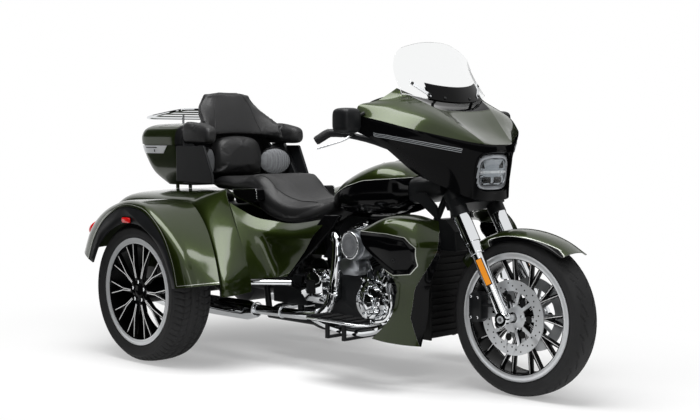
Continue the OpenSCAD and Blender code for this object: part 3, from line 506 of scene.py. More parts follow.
def outward(obj: Piece) -> Piece:
    """Merges doubles and turns a closed mesh's faces outwards.

    Args:
        obj: Piece with the closed mesh.

    Returns:
        The piece.
    """
    work = bmesh.new()
    work.from_mesh(obj.data)
    bmesh.ops.remove_doubles(work, verts=work.verts, dist=1e-6)
    bmesh.ops.recalc_face_normals(work, faces=work.faces)
    work.to_mesh(obj.data)
    work.free()
    return obj


def soften(obj: Piece, width_mm: float, segments: int = 2, angle_deg: float = 45.0) -> Piece:
    """Rounds the sharp edges of a piece.

    Args:
        obj: The piece.
        width_mm: Width of the rounding.
        segments: Steps across it.
        angle_deg: Edges sharper than this are rounded.

    Returns:
        The piece.
    """
    bevel = obj.modifiers.new("edge", "BEVEL")
    bevel.width = width_mm * 0.001
    bevel.segments = segments
    bevel.limit_method = "ANGLE"
    bevel.angle_limit = math.radians(angle_deg)
    bevel.harden_normals = True
    return obj


def skin_faces(m: int, n: int, ring: bool = False, start: int = 0) -> list:
    """Quads of a grid of points.

    Args:
        m: Number of rows.
        n: Points in a row.
        ring: Closes each row.
        start: Number of the first point.

    Returns:
        Faces as rows of point numbers.
    """
    wide = n if ring else n - 1
    return [(start + i * n + j, start + (i + 1) * n + j, start + (i + 1) * n + (j + 1) % n, start + i * n + (j + 1) % n)
            for i in range(m - 1) for j in range(wide)]


@dataclass
class PanelCut:
    """How a panel is cut from a net: patches, thickness, and the part of the net that it covers."""

    patches: tuple[int, int]
    thick: float = 5.0
    u: Optional[tuple[float, float]] = None
    v: Optional[tuple[float, float]] = None


def panel(name: str, net: Net, cut: PanelCut, finish: Paint, line: Optional[Line] = None,
          push: Optional[Line] = None, flip: bool = False, hole: Optional[Line] = None) -> Piece:
    """Makes a thin curved panel.

    Args:
        name: Piece name.
        net: Surface of its outer face.
        cut: Patches, thickness and range.
        finish: Its finish.
        line: Gives each outer point's distance from the paint line in millimetres.
        push: Gives how far each outer point is pushed in along the normal, in millimetres.
        flip: Mirrors the panel to the left side.
        hole: Is above zero where the panel is cut out.

    Returns:
        The panel.
    """
    rows, cols = len(net.rows), len(net.rows[0])
    u = np.linspace(*(cut.u or (0, rows - 1)), cut.patches[0] + 1)
    v = np.linspace(*(cut.v or (0, cols - 1)), cut.patches[1] + 1)
    outer, normal = net.at(u, v), net.normal(u, v)
    value = np.full(outer.shape[:2], 100.0) if line is None else line(outer)
    if push is not None:
        outer = outer - push(outer)[..., None] * normal
    inner = outer - cut.thick * normal
    m, n = len(u), len(v)
    count = m * n
    faces = skin_faces(m, n)
    if hole is not None:
        gone = (hole(outer) > 0).ravel()
        faces = [f for f in faces if not all(gone[k] for k in f)]
    sides = {(f[k], f[(k + 1) % 4]) for f in faces for k in range(4)}
    faces += [tuple(k + count for k in reversed(f)) for f in faces]
    faces += [(b, a, a + count, b + count) for a, b in sorted(sides) if (b, a) not in sides]
    points = np.concatenate([outer.reshape(-1, 3), inner.reshape(-1, 3)])
    if flip:
        points = points * [1, -1, 1]
        faces = [tuple(reversed(f)) for f in faces]
    obj = mesh_object(name, points, faces, finish)
    data = obj.data.attributes.new("paint_line", "FLOAT", "POINT").data
    data.foreach_set("value", np.concatenate([value.ravel(), value.ravel()]).astype(np.float32))
    return obj


def ring_across(x: float, half: float, low: float, high: float, power: float, count: int, y: float = 0.0) -> Array:
    """Ring of points round a rounded box section at x.

    Args:
        x: Place along the trike.
        half: Half width.
        low: Lowest height.
        high: Greatest height.
        power: 1 for an ellipse, towards 0 for a box.
        count: Number of points.
        y: Middle of the section.

    Returns:
        The ring's points.
    """
    a = turns(count)
    c, s = (np.sign(f) * np.abs(f) ** power for f in (np.cos(a), np.sin(a)))
    return np.stack([np.full(count, x), y + half * c, (low + high) / 2 + (high - low) / 2 * s], 1)


def ring_level(z: float, back: float, front: float, half: float, power: float, count: int) -> Array:
    """Ring of points round a rounded box section at height z.

    Args:
        z: Height.
        back: Its rear end.
        front: Its front end.
        half: Half width.
        power: 1 for an ellipse, towards 0 for a box.
        count: Number of points.

    Returns:
        The ring's points.
    """
    a = turns(count)
    c, s = (np.sign(f) * np.abs(f) ** power for f in (np.cos(a), np.sin(a)))
    return np.stack([(back + front) / 2 + (front - back) / 2 * c, half * s, np.full(count, z)], 1)


def loft(name: str, rings: Sequence, finish: Paint, line: Optional[Line] = None, sharp_deg: float = 38.0,
         closed: bool = False) -> Piece:
    """Makes a closed solid through rings of points.

    Args:
        name: Piece name.
        rings: Rings with the same count of points.
        finish: Its finish.
        line: Gives each point's distance from the paint line in millimetres.
        sharp_deg: Edges sharper than this stay sharp.
        closed: Joins the last ring to the first, as in a collar.

    Returns:
        The solid.
    """
    rings = np.asarray(list(rings) + [rings[0]] if closed else rings, float)
    m, n = rings.shape[:2]
    faces = skin_faces(m, n, ring=True)
    if not closed:
        faces += [tuple(range(n)), tuple(range(m * n - 1, (m - 1) * n - 1, -1))]
    obj = outward(mesh_object(name, rings, faces, finish, sharp_deg))
    obj.data.set_sharp_from_angle(angle=math.radians(sharp_deg))
    where = np.array([v.co for v in obj.data.vertices]) * 1000 + [MID_X, 0, 0]
    value = np.full(len(where), 100.0) if line is None else line(where)
    obj.data.attributes.new("paint_line", "FLOAT", "POINT").data.foreach_set("value", value.astype(np.float32))
    return obj


def revolve(name: str, profile: Sequence, centre: Array, finish: Paint, count: int = 96, axis: str = "y",
            sharp_deg: float = 30.0) -> Piece:
    """Makes a turned solid from a closed profile of radius and place along its axis.

    Args:
        name: Piece name.
        profile: Rows of radius and place along the axis, in millimetres.
        centre: Point on the axis.
        finish: Its finish.
        count: Steps round the axis.
        axis: "x", "y" or "z".
        sharp_deg: Edges sharper than this stay sharp.

    Returns:
        The solid.
    """
    profile = np.asarray(profile, float)
    a = turns(count)
    r, h = profile[:, 0][:, None], np.repeat(profile[:, 1][:, None], count, 1)
    across = {"x": (1, 2, 0), "y": (0, 2, 1), "z": (0, 1, 2)}[axis]
    points = np.zeros((len(profile), count, 3))
    points[..., across[0]], points[..., across[1]], points[..., across[2]] = r * np.cos(a), r * np.sin(a), h
    m = len(profile)
    faces = [(i * count + j, ((i + 1) % m) * count + j, ((i + 1) % m) * count + (j + 1) % count,
              i * count + (j + 1) % count)
             for i in range(m) for j in range(count)]
    obj = outward(mesh_object(name, points + np.asarray(centre), faces, finish, sharp_deg))
    obj.data.set_sharp_from_angle(angle=math.radians(sharp_deg))
    return obj


@dataclass(frozen=True)
class Rig(ABC):
    """A Geometry Nodes tree with named inputs that turns points or edges into finished meshes."""

    name: str
    inputs: tuple[tuple[str, str], ...]

    @abstractmethod
    def wire(self, tree: Tree, given: Node) -> Socket:
        """Builds the tree.

        Args:
            tree: The empty node tree.
            given: Node with its inputs.

        Returns:
            The last geometry.
        """

    def tree(self) -> Tree:
        """Returns the tree, made the first time it is asked for."""
        made = bpy.data.node_groups.get(self.name)
        if made is None:
            made = bpy.data.node_groups.new(self.name, "GeometryNodeTree")
            face = made.interface
            face.new_socket("Geometry", in_out="INPUT", socket_type="NodeSocketGeometry")
            for label, kind in self.inputs + (("Finish", "Material"),):
                face.new_socket(label, in_out="INPUT", socket_type="NodeSocket" + kind)
            face.new_socket("Geometry", in_out="OUTPUT", socket_type="NodeSocketGeometry")
            given = made.nodes.new("NodeGroupInput")
            last = self.wire(made, given)
            real = add(made, "GeometryNodeRealizeInstances", {"Geometry": last})
            done = add(made, "GeometryNodeSetMaterial", {"Geometry": real.outputs[0],
                                                         "Material": given.outputs["Finish"]})
            add(made, "NodeGroupOutput", {"Geometry": done.outputs[0]})
        return made

    def run(self, name: str, source: Mesh, finish: "Paint", sharp_deg: float = 40.0, **values) -> Piece:
        """Runs the tree on a mesh.

        Args:
            name: Name of the finished piece.
            source: Points or edges that the tree starts from.
            finish: The piece's finish.
            sharp_deg: Edges sharper than this stay sharp.
            **values: Inputs by name, with _ for a space.

        Returns:
            The finished piece as a plain mesh at the origin.
        """
        tree = self.tree()
        carrier = linked(name + "_source", source)
        rig = carrier.modifiers.new("rig", "NODES")
        rig.node_group = tree
        given = {key.replace("_", " "): value for key, value in values.items()} | {"Finish": finish.make()}
        for item in tree.interface.items_tree:
            if item.in_out == "INPUT" and item.name in given:
                rig[item.identifier] = given[item.name]
        graph = bpy.context.evaluated_depsgraph_get()
        mesh = bpy.data.meshes.new_from_object(carrier.evaluated_get(graph), preserve_all_data_layers=True,
                                               depsgraph=graph)
        carrier.modifiers.remove(rig)
        bpy.data.objects.remove(carrier)
        mesh.name = name
        smooth(mesh, sharp_deg)
        return linked(name, mesh)


@dataclass(frozen=True)
class TubeRig(Rig):
    """Sweeps a round section along edges, for rails, wires and raised lines."""

    name: str = "swept_tube"
    inputs: tuple[tuple[str, str], ...] = (("Radius", "Float"), ("Sides", "Int"))

    def wire(self, tree: Tree, given: Node) -> Socket:
        """Turns the edges into curves and sweeps a circle along them."""
        path = add(tree, "GeometryNodeMeshToCurve", {"Mesh": given.outputs[0]})
        ring = add(tree, "GeometryNodeCurvePrimitiveCircle", {"Resolution": given.outputs["Sides"],
                                                              "Radius": given.outputs["Radius"]})
        return add(tree, "GeometryNodeCurveToMesh", {"Curve": path.outputs[0], "Profile Curve": ring.outputs[0],
                                                     "Fill Caps": True}).outputs[0]


@dataclass(frozen=True)
class HeadRig(Rig):
    """Sets a chamfered head on every point, turned along the point's facing attribute."""

    name: str = "fastener_heads"
    inputs: tuple[tuple[str, str], ...] = (("Radius", "Float"), ("Height", "Float"), ("Sides", "Int"))

    def wire(self, tree: Tree, given: Node) -> Socket:
        """Joins a shank and a chamfered top and instances both on the points."""
        size = {"Vertices": given.outputs["Sides"], "Radius": given.outputs["Radius"], "Depth": given.outputs["Height"]}
        half = add(tree, "ShaderNodeMath", {0: given.outputs["Height"], 1: 0.5}, operation="MULTIPLY").outputs[0]
        low = add(tree, "ShaderNodeCombineXYZ", {"Z": half})
        shank = add(tree, "GeometryNodeTransform", {"Geometry": add(tree, "GeometryNodeMeshCylinder", size).outputs[0],
                                                    "Translation": low.outputs[0]})
        small = add(tree, "ShaderNodeMath", {0: given.outputs["Radius"], 1: 0.72}, operation="MULTIPLY").outputs[0]
        rise = add(tree, "ShaderNodeMath", {0: given.outputs["Height"], 1: 0.35}, operation="MULTIPLY").outputs[0]
        cone = add(tree, "GeometryNodeMeshCone", {"Vertices": given.outputs["Sides"], "Radius Top": small,
                                                  "Radius Bottom": given.outputs["Radius"], "Depth": rise})
        high = add(tree, "ShaderNodeCombineXYZ", {"Z": given.outputs["Height"]})
        top = add(tree, "GeometryNodeTransform", {"Geometry": cone.outputs[0], "Translation": high.outputs[0]})
        head = add(tree, "GeometryNodeJoinGeometry")
        tree.links.new(shank.outputs[0], head.inputs[0])
        tree.links.new(top.outputs[0], head.inputs[0])
        facing = add(tree, "GeometryNodeInputNamedAttribute", {"Name": "facing"}, data_type="FLOAT_VECTOR")
        turn = add(tree, "FunctionNodeAlignRotationToVector", {"Vector": facing.outputs[0]}, axis="Z")
        points = add(tree, "GeometryNodeMeshToPoints", {"Mesh": given.outputs[0]})
        return add(tree, "GeometryNodeInstanceOnPoints", {"Points": points.outputs[0], "Instance": head.outputs[0],
                                                          "Rotation": turn.outputs[0]}).outputs[0]


@dataclass(frozen=True)
class RingRig(Rig):
    """Repeats a mesh round an axis along Y, for spokes and rows of drilled holes."""

    name: str = "ring_of_copies"
    inputs: tuple[tuple[str, str], ...] = (("Count", "Int"), ("Centre", "Vector"), ("Start", "Float"))

    def wire(self, tree: Tree, given: Node) -> Socket:
        """Instances the mesh on points at the centre, each turned one step further."""
        points = add(tree, "GeometryNodePoints", {"Count": given.outputs["Count"], "Position": given.outputs["Centre"]})
        step = add(tree, "ShaderNodeMath", {0: 2 * math.pi, 1: given.outputs["Count"]}, operation="DIVIDE").outputs[0]
        turn = add(tree, "ShaderNodeMath", {0: add(tree, "GeometryNodeInputIndex").outputs[0], 1: step,
                                            2: given.outputs["Start"]}, operation="MULTIPLY_ADD").outputs[0]
        turned = add(tree, "FunctionNodeAxisAngleToRotation", {"Axis": (0.0, 1.0, 0.0), "Angle": turn})
        return add(tree, "GeometryNodeInstanceOnPoints", {"Points": points.outputs[0], "Instance": given.outputs[0],
                                                          "Rotation": turned.outputs[0]}).outputs[0]


TUBE = TubeRig()
HEADS = HeadRig()
RING = RingRig()


def tubes(name: str, paths: Sequence, radius: float, finish: Paint, sides: int = 10, closed: bool = False) -> Piece:
    """Makes round bars along paths.

    Args:
        name: Piece name.
        paths: Paths of points in drawing millimetres.
        radius: Bar radius in millimetres.
        finish: Its finish.
        sides: Steps round the bar.
        closed: Joins each path's end to its start.

    Returns:
        The bars as one piece.
    """
    points, edges = [], []
    for path in paths:
        first = len(points)
        points += [tuple(p) for p in to_row(path)]
        edges += [(k, k + 1) for k in range(first, len(points) - 1)]
        if closed:
            edges.append((len(points) - 1, first))
    mesh = bpy.data.meshes.new(name + "_paths")
    mesh.from_pydata(points, edges, [])
    return TUBE.run(name, mesh, finish, Radius=radius * 0.001, Sides=sides)


def heads(name: str, places: Sequence, facings: Sequence, radius: float, height: float, finish: Paint,
          sides: int = 6) -> Piece:
    """Makes fastener heads.

    Args:
        name: Piece name.
        places: Points in drawing millimetres where the heads stand.
        facings: Direction in which each head faces.
        radius: Head radius in millimetres.
        height: Head height in millimetres.
        finish: Their finish.
        sides: Sides of each head.

    Returns:
        The heads as one piece.
    """
    mesh = bpy.data.meshes.new(name + "_points")
    mesh.from_pydata([tuple(p) for p in to_row(np.asarray(places, float))], [], [])
    data = mesh.attributes.new("facing", "FLOAT_VECTOR", "POINT").data
    data.foreach_set("vector", np.asarray(facings, np.float32).ravel())
    return HEADS.run(name, mesh, finish, Radius=radius * 0.001, Height=height * 0.001, Sides=sides)


def prism(name: str, outline: Sequence, y: tuple[float, float], finish: Paint, edge: float = 0.0) -> Piece:
    """Makes a plate.

    Args:
        name: Piece name.
        outline: Corners in x and z.
        y: Places of its two faces.
        finish: Its finish.
        edge: Width of the rounded edges, or 0 for none.

    Returns:
        The plate.
    """
    outline = np.asarray(outline, float)
    rings = [np.stack([outline[:, 0], np.full(len(outline), v), outline[:, 1]], 1) for v in y]
    obj = loft(name, rings, finish, sharp_deg=35.0)
    return soften(obj, edge) if edge else obj


def merge(name: str, parts: Sequence[Piece]) -> Piece:
    """Joins meshes, with their modifiers applied, into one piece and removes the parts.

    Args:
        name: Name of the joined piece.
        parts: Pieces of one finish each.

    Returns:
        The joined piece.
    """
    graph = bpy.context.evaluated_depsgraph_get()
    work = bmesh.new()
    finishes: list[Material] = []
    for part in parts:
        made = bpy.data.meshes.new_from_object(part.evaluated_get(graph), preserve_all_data_layers=True,
                                               depsgraph=graph)
        at = len(work.faces)
        work.from_mesh(made)
        work.faces.ensure_lookup_table()
        used = part.data.materials[0]
        if used not in finishes:
            finishes.append(used)
        for one in work.faces[at:]:
            one.material_index = finishes.index(used)
        bpy.data.meshes.remove(made)
    mesh = bpy.data.meshes.new(name)
    work.to_mesh(mesh)
    work.free()
    for part in parts:
        bpy.data.objects.remove(part)
    for used in finishes:
        mesh.materials.append(used)
    return linked(name, mesh)


class Body(Enum):
    """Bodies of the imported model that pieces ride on."""

    CHASSIS = "chassis"
    STEERING = "steering"
    FRONT_WHEEL = "front_wheel"
    REAR_RIGHT = "rear_wheel_right"
    REAR_LEFT = "rear_wheel_left"
    LID = "case_lid"
    DOOR = "trunk_door"


@dataclass
class Assembly(ABC):
    """A group of pieces that is built together, most of them on its home body."""

    home: ClassVar[Body] = Body.CHASSIS

    @abstractmethod
    def build(self) -> None:
        """Builds and places the group's pieces."""

    def keep(self, obj: Piece, slot: str, *nodes: str, body: Optional[Body] = None) -> Piece:
        """Fixes a finished piece to its body.

        Args:
            obj: The piece.
            slot: The record's material slot; not used.
            *nodes: CAD nodes that the piece stands for.
            body: Body that carries it, where that isn't the group's home.

        Returns:
            The piece.
        """
        body = body or self.home
        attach(obj, body.value)
        if nodes:
            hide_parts(*nodes)
        LOG.info("%s on %s", obj.name, body.value)
        return obj

    def dress(self, finish: Paint, *nodes: str, round_mm: float = 0.0) -> None:
        """Gives CAD nodes a finish, smooth shading and rounded edges.

        Args:
            finish: The finish.
            *nodes: Names of the nodes.
            round_mm: Width of the rounding, or 0 for none.
        """
        for name in nodes:
            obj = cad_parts[name]
            for place_of in obj.material_slots:
                place_of.material = finish.make()
            weld = obj.modifiers.new("weld", "WELD")
            weld.merge_threshold = 2e-5
            if round_mm:
                flat = obj.modifiers.new("flat", "DECIMATE")
                flat.decimate_type = "DISSOLVE"
                flat.angle_limit = math.radians(1.0)
                soften(obj, round_mm, 2, 40.0)
            obj.modifiers.new("shade", "NODES").node_group = shade_tree()
            LOG.info("%s dressed in %s", name, finish.value.name)


def shade_tree() -> Tree:
    """Returns the tree that shades a piece smooth except at edges over 35 degrees."""
    made = bpy.data.node_groups.get("smooth_by_angle")
    if made is None:
        made = bpy.data.node_groups.new("smooth_by_angle", "GeometryNodeTree")
        made.interface.new_socket("Geometry", in_out="INPUT", socket_type="NodeSocketGeometry")
        made.interface.new_socket("Geometry", in_out="OUTPUT", socket_type="NodeSocketGeometry")
        given = made.nodes.new("NodeGroupInput")
        soft = add(made, "GeometryNodeSetShadeSmooth", {"Geometry": given.outputs[0], "Shade Smooth": True},
                   domain="FACE")
        angle = add(made, "GeometryNodeInputMeshEdgeAngle").outputs["Unsigned Angle"]
        steep = add(made, "FunctionNodeCompare", {0: angle, 1: math.radians(35)}, operation="GREATER_THAN")
        hard = add(made, "GeometryNodeSetShadeSmooth", {"Geometry": soft.outputs[0], "Selection": steep.outputs[0],
                                                        "Shade Smooth": False}, domain="EDGE")
        add(made, "NodeGroupOutput", {"Geometry": hard.outputs[0]})
    return made


def flat_distance(polygon: Sequence, points: Array) -> Array:
    """Signed distance to a polygon in the plane, below zero inside.

    Args:
        polygon: Corners.
        points: Points, last axis of 2.

    Returns:
        Distances in the same unit.
    """
    corners = np.asarray(polygon, float)
    best = np.full(points.shape[:-1], 1e9)
    inside = np.zeros(points.shape[:-1], bool)
    for a, b in zip(corners, np.roll(corners, -1, 0)):
        along = np.clip(((points - a) @ (b - a)) / ((b - a) @ (b - a)), 0, 1)
        best = np.minimum(best, np.linalg.norm(points - a - along[..., None] * (b - a), axis=-1))
        cross = (a[1] > points[..., 1]) != (b[1] > points[..., 1])
        slope = (points[..., 1] - a[1]) / (b[1] - a[1] if b[1] != a[1] else 1e-9)
        inside ^= cross & (points[..., 0] < a[0] + slope * (b[0] - a[0]))
    return np.where(inside, -best, best)


def ease(value: Array) -> Array:
    """Smooth step from 0 to 1."""
    t = np.clip(value, 0, 1)
    return t * t * (3 - 2 * t)


def polar(angle: float, radius: float, y: float, axle: Array) -> tuple[float, float, float]:
    """Point at an angle in degrees and a radius round an axle."""
    a = math.radians(angle)
    return axle[0] + radius * math.cos(a), y, axle[2] + radius * math.sin(a)


@dataclass
class RearBody(Assembly):
    """Rear body, wheel covers, side covers and the trunk door."""

    thick: float = 5.0
    # Angle round the axle, lip radius, crown radius, crown side, seam radius, seam side.
    arch: tuple = ((158, 344, 452, -668, 480, -477), (140, 356, 446, -678, 462, -477), (120, 373, 428, -684, 432, -477),
                   (98, 390, 420, -686, 418, -477), (80, 394, 418, -688, 420, -479), (66, 391, 414, -690, 428, -488),
                   (46, 376, 408, -690, 420, -512), (25, 363, 420, -686, 452, -560), (8, 362, 436, -682, 498, -598))
    # Rows from the tail forwards, each from the right sill to the middle of the deck.
    deck: tuple = (
        ((-1338, -472, 410), (-1338, -472, 500), (-1338, -472, 610), (-1338, -425, 712), (-1338, -230, 735),
         (-1338, 0, 738)),
        ((-1240, -472, 408), (-1240, -472, 500), (-1240, -472, 620), (-1240, -440, 738), (-1240, -240, 764),
         (-1240, 0, 766)),
        ((-1000, -472, 408), (-1000, -472, 500), (-1000, -472, 620), (-1000, -445, 744), (-1000, -250, 775),
         (-1000, 0, 768)),
        ((-760, -472, 408), (-760, -472, 500), (-760, -472, 620), (-750, -456, 746), (-750, -255, 772), (-750, 0, 745)),
        ((-522, -472, 350), (-526, -473, 430), (-575, -476, 575), (-692, -470, 736), (-690, -270, 758), (-690, 0, 715)),
        ((-350, -576, 335), (-357, -578, 400), (-434, -538, 506), (-640, -456, 748), (-640, -290, 758), (-650, 0, 690)),
        ((-335, -425, 345), (-348, -420, 420), (-410, -412, 540), (-538, -400, 784), (-560, -290, 745), (-600, 0, 665)))
    # Rows from the top edge down, each from the back to the front.
    side: tuple = (
        ((-512, -402, 735), (-440, -322, 672), (-370, -264, 652), (-260, -226, 644), (-55, -206, 678)),
        ((-489, -405, 688), (-414, -348, 618), (-353, -308, 602), (-240, -284, 600), (-100, -258, 612)),
        ((-434, -410, 585), (-392, -354, 560), (-350, -310, 550), (-270, -282, 545), (-160, -254, 540)),
        ((-390, -415, 500), (-370, -358, 488), (-342, -310, 480), (-295, -280, 474), (-225, -252, 470)),
        ((-346, -421, 402), (-338, -364, 400), (-326, -314, 400), (-308, -284, 402), (-285, -258, 404)))
    line_in: float = 9.0
    lip_y: float = -735.0

    def arch_net(self) -> Net:
        """Surface of the right wheel cover."""
        rows = []
        for a, lip, crown, out, seam, inner in self.arch:
            spots = ((lip, self.lip_y), (lip + (crown - lip) * 0.55, self.lip_y + (out - self.lip_y) * 0.22),
                     (lip + (crown - lip) * 0.92, self.lip_y + (out - self.lip_y) * 0.66),
                     (crown + (seam - crown) * 0.12, out + (inner - out) * 0.12),
                     (crown + (seam - crown) * 0.55, out + (inner - out) * 0.5), (seam, inner))
            rows.append([polar(a, r, y, REAR_AXLE) for r, y in spots])
        return Net.of(rows)

    def deck_net(self) -> Net:
        """Surface of the rear body."""
        return Net.of([row[::-1] for row in self.deck], mirrored=True)

    def edge_line(self, points: Array) -> Array:
        """Distance from the fine line that follows the wheel cover's outer and lower edges.

        Args:
            points: Grid of points of the panel.

        Returns:
            Distances in millimetres.
        """
        step = np.linalg.norm(np.diff(points, axis=1), axis=2)
        lip = np.concatenate([np.zeros((len(points), 1)), np.cumsum(step, 1)], 1)
        foot = np.linalg.norm(points - points[-1:], axis=2)
        return np.minimum(lip, foot) - self.line_in

    def build(self) -> None:
        """Builds the painted panels and dresses the trunk."""
        body = panel("rear_body_skin", self.deck_net(), PanelCut((84, 130), self.thick), Paint.OLIVE)
        self.keep(soften(body, 1.2), "green_paint", "rear_body")
        for side, flip in (("right", False), ("left", True)):
            cover = panel(f"wheel_cover_{side}", self.arch_net(), PanelCut((150, 96), self.thick), Paint.STRIPED,
                          line=self.edge_line, flip=flip)
            self.keep(soften(cover, 1.4), "green_paint", f"rear_fender_{side}")
            skirt = panel(f"side_cover_skin_{side}", Net.of(self.side), PanelCut((44, 56), self.thick), Paint.OLIVE,
                          flip=flip)
            self.keep(soften(skirt, 1.2), "green_paint", f"side_cover_{side}")
        self.dress(Paint.OLIVE, "trunk_door", round_mm=1.5)
        self.dress(Paint.SATIN, "trunk_tub", "rear_axle", "arch_trims", round_mm=0.8)
        self.dress_door()

    def dress_door(self) -> None:
        """Adds the handle and the blank plate in its well to the trunk door."""
        rings = [ring_across(x, h, lo, hi, 0.3, 48) for x, h, lo, hi in (
            (-1374, 122, 428, 558), (-1379, 122, 428, 558), (-1380, 118, 432, 554), (-1377, 112, 438, 548))]
        self.keep(loft("door_plate_well", rings, Paint.BLACK), "gloss_black", body=Body.DOOR)
        plate = loft("blank_plate", [ring_across(x, 100, 446, 540, 0.18, 40) for x in (-1378, -1380.5)], Paint.TURNED)
        self.keep(soften(plate, 0.6), "steel", body=Body.DOOR)
        grip = trace([(-1374, -90, 600), (-1384, -70, 600), (-1387, 0, 601), (-1384, 70, 600), (-1374, 90, 600)], 24)
        self.keep(tubes("door_handle", [grip], 6.0, Paint.CHROME), "chrome", body=Body.DOOR)


@dataclass
class FrontSkins(Assembly):
    """Fuel tank and lower fairings."""

    tank: tuple = ((300, 96, 742, 868), (250, 140, 712, 905), (170, 172, 694, 926), (70, 182, 688, 902),
                   (-30, 172, 690, 856), (-100, 138, 700, 812), (-153, 92, 712, 788))
    tank_line: tuple = ((-160, 745), (-118, 763), (6, 817), (108, 844), (231, 854), (300, 860))
    # Rows from the top down, each from the back to the front.
    lower: tuple = (
        ((325, -225, 668), (400, -235, 712), (485, -225, 714), (545, -180, 690)),
        ((306, -373, 658), (425, -362, 704), (528, -300, 692), (580, -215, 644)),
        ((317, -398, 600), (456, -394, 604), (564, -330, 592), (594, -225, 571)),
        ((424, -366, 498), (470, -346, 488), (518, -292, 470), (540, -215, 455)),
        ((438, -318, 428), (462, -304, 424), (494, -268, 414), (518, -205, 410)),
        ((396, -304, 300), (424, -294, 298), (470, -262, 300), (506, -200, 300)),
        ((285, -300, 197), (350, -288, 188), (430, -262, 182), (492, -225, 179)))
    pocket: tuple = ((290, 655), (300, 652), (450, 648), (521, 635), (560, 593), (545, 520), (509, 483), (451, 478),
                     (424, 498), (290, 605))
    pocket_deep: float = 12.0
    pocket_edge: float = 16.0
    tunnel_half: float = 44.0
    # Place along the rows and across them where the dark front strip starts.
    strip: tuple = ((0, 3.2), (1, 2.95), (2, 2.75), (2.5, 2.55), (3, 2.3), (4, 2.0), (5, 1.95), (5.5, 2.4), (6, 2.9))

    def tank_paint(self, points: Array) -> Array:
        """Height above the tank's paint line."""
        x, z = np.asarray(self.tank_line, float).T
        return points[..., 2] - np.interp(points[..., 0], x, z)

    def pocket_paint(self, points: Array) -> Array:
        """Distance outside the lower fairing's black pocket."""
        return flat_distance(self.pocket, points[..., [0, 2]])

    def lower_paint(self, points: Array) -> Array:
        """Distance from the lower fairing's black pocket and its dark front strip.

        Args:
            points: Grid of points of the panel.

        Returns:
            Distances in millimetres.
        """
        u, v = np.asarray(self.strip, float).T
        start = np.interp(np.linspace(0, 6, points.shape[0]), u, v)
        return np.minimum(self.pocket_paint(points), 900 * (start[:, None] - np.linspace(0, 3, points.shape[1])))

    def pocket_push(self, points: Array) -> Array:
        """Depth of the pocket."""
        return self.pocket_deep * ease(-self.pocket_paint(points) / self.pocket_edge)

    def build(self) -> None:
        """Builds the tank and the two lower fairings."""
        rows = trace(self.tank[::-1], 90)
        rings = [ring_across(x, h, lo, hi, 0.72, 120) for x, h, lo, hi in rows]
        # The tunnel over the backbone is kept as a groove along the underside.
        for ring, (x, *_rest) in zip(rings, rows):
            roof = 774 + 0.225 * (x - 50)
            under = (np.abs(ring[:, 1]) < self.tunnel_half) & (ring[:, 2] < roof)
            ring[under, 2] = roof
        tank = loft("fuel_tank_skin", rings, Paint.TWO_TONE, line=self.tank_paint)
        self.keep(tank, "green_paint", "fuel_tank")
        seam = [(x, 0, hi + 1.2) for x, _h, _lo, hi in trace(self.tank, 40)[6:34]]
        self.keep(tubes("tank_seam", [seam], 2.2, Paint.BLACK), "gloss_black")
        cap = revolve("filler_cap", [(2, 924), (20, 926), (30, 922), (34, 916), (34, 910), (2, 910)], (150, -58, -6),
                      Paint.BLACK, axis="z")
        self.keep(soften(cap, 1.0), "gloss_black")
        for side, flip in (("right", False), ("left", True)):
            skin = panel(f"lower_fairing_skin_{side}", Net.of(self.lower), PanelCut((130, 84), 5.0), Paint.TWO_TONE,
                         line=self.lower_paint, push=self.pocket_push, flip=flip)
            self.keep(soften(skin, 1.4), "green_paint", f"lower_fairing_{side}")


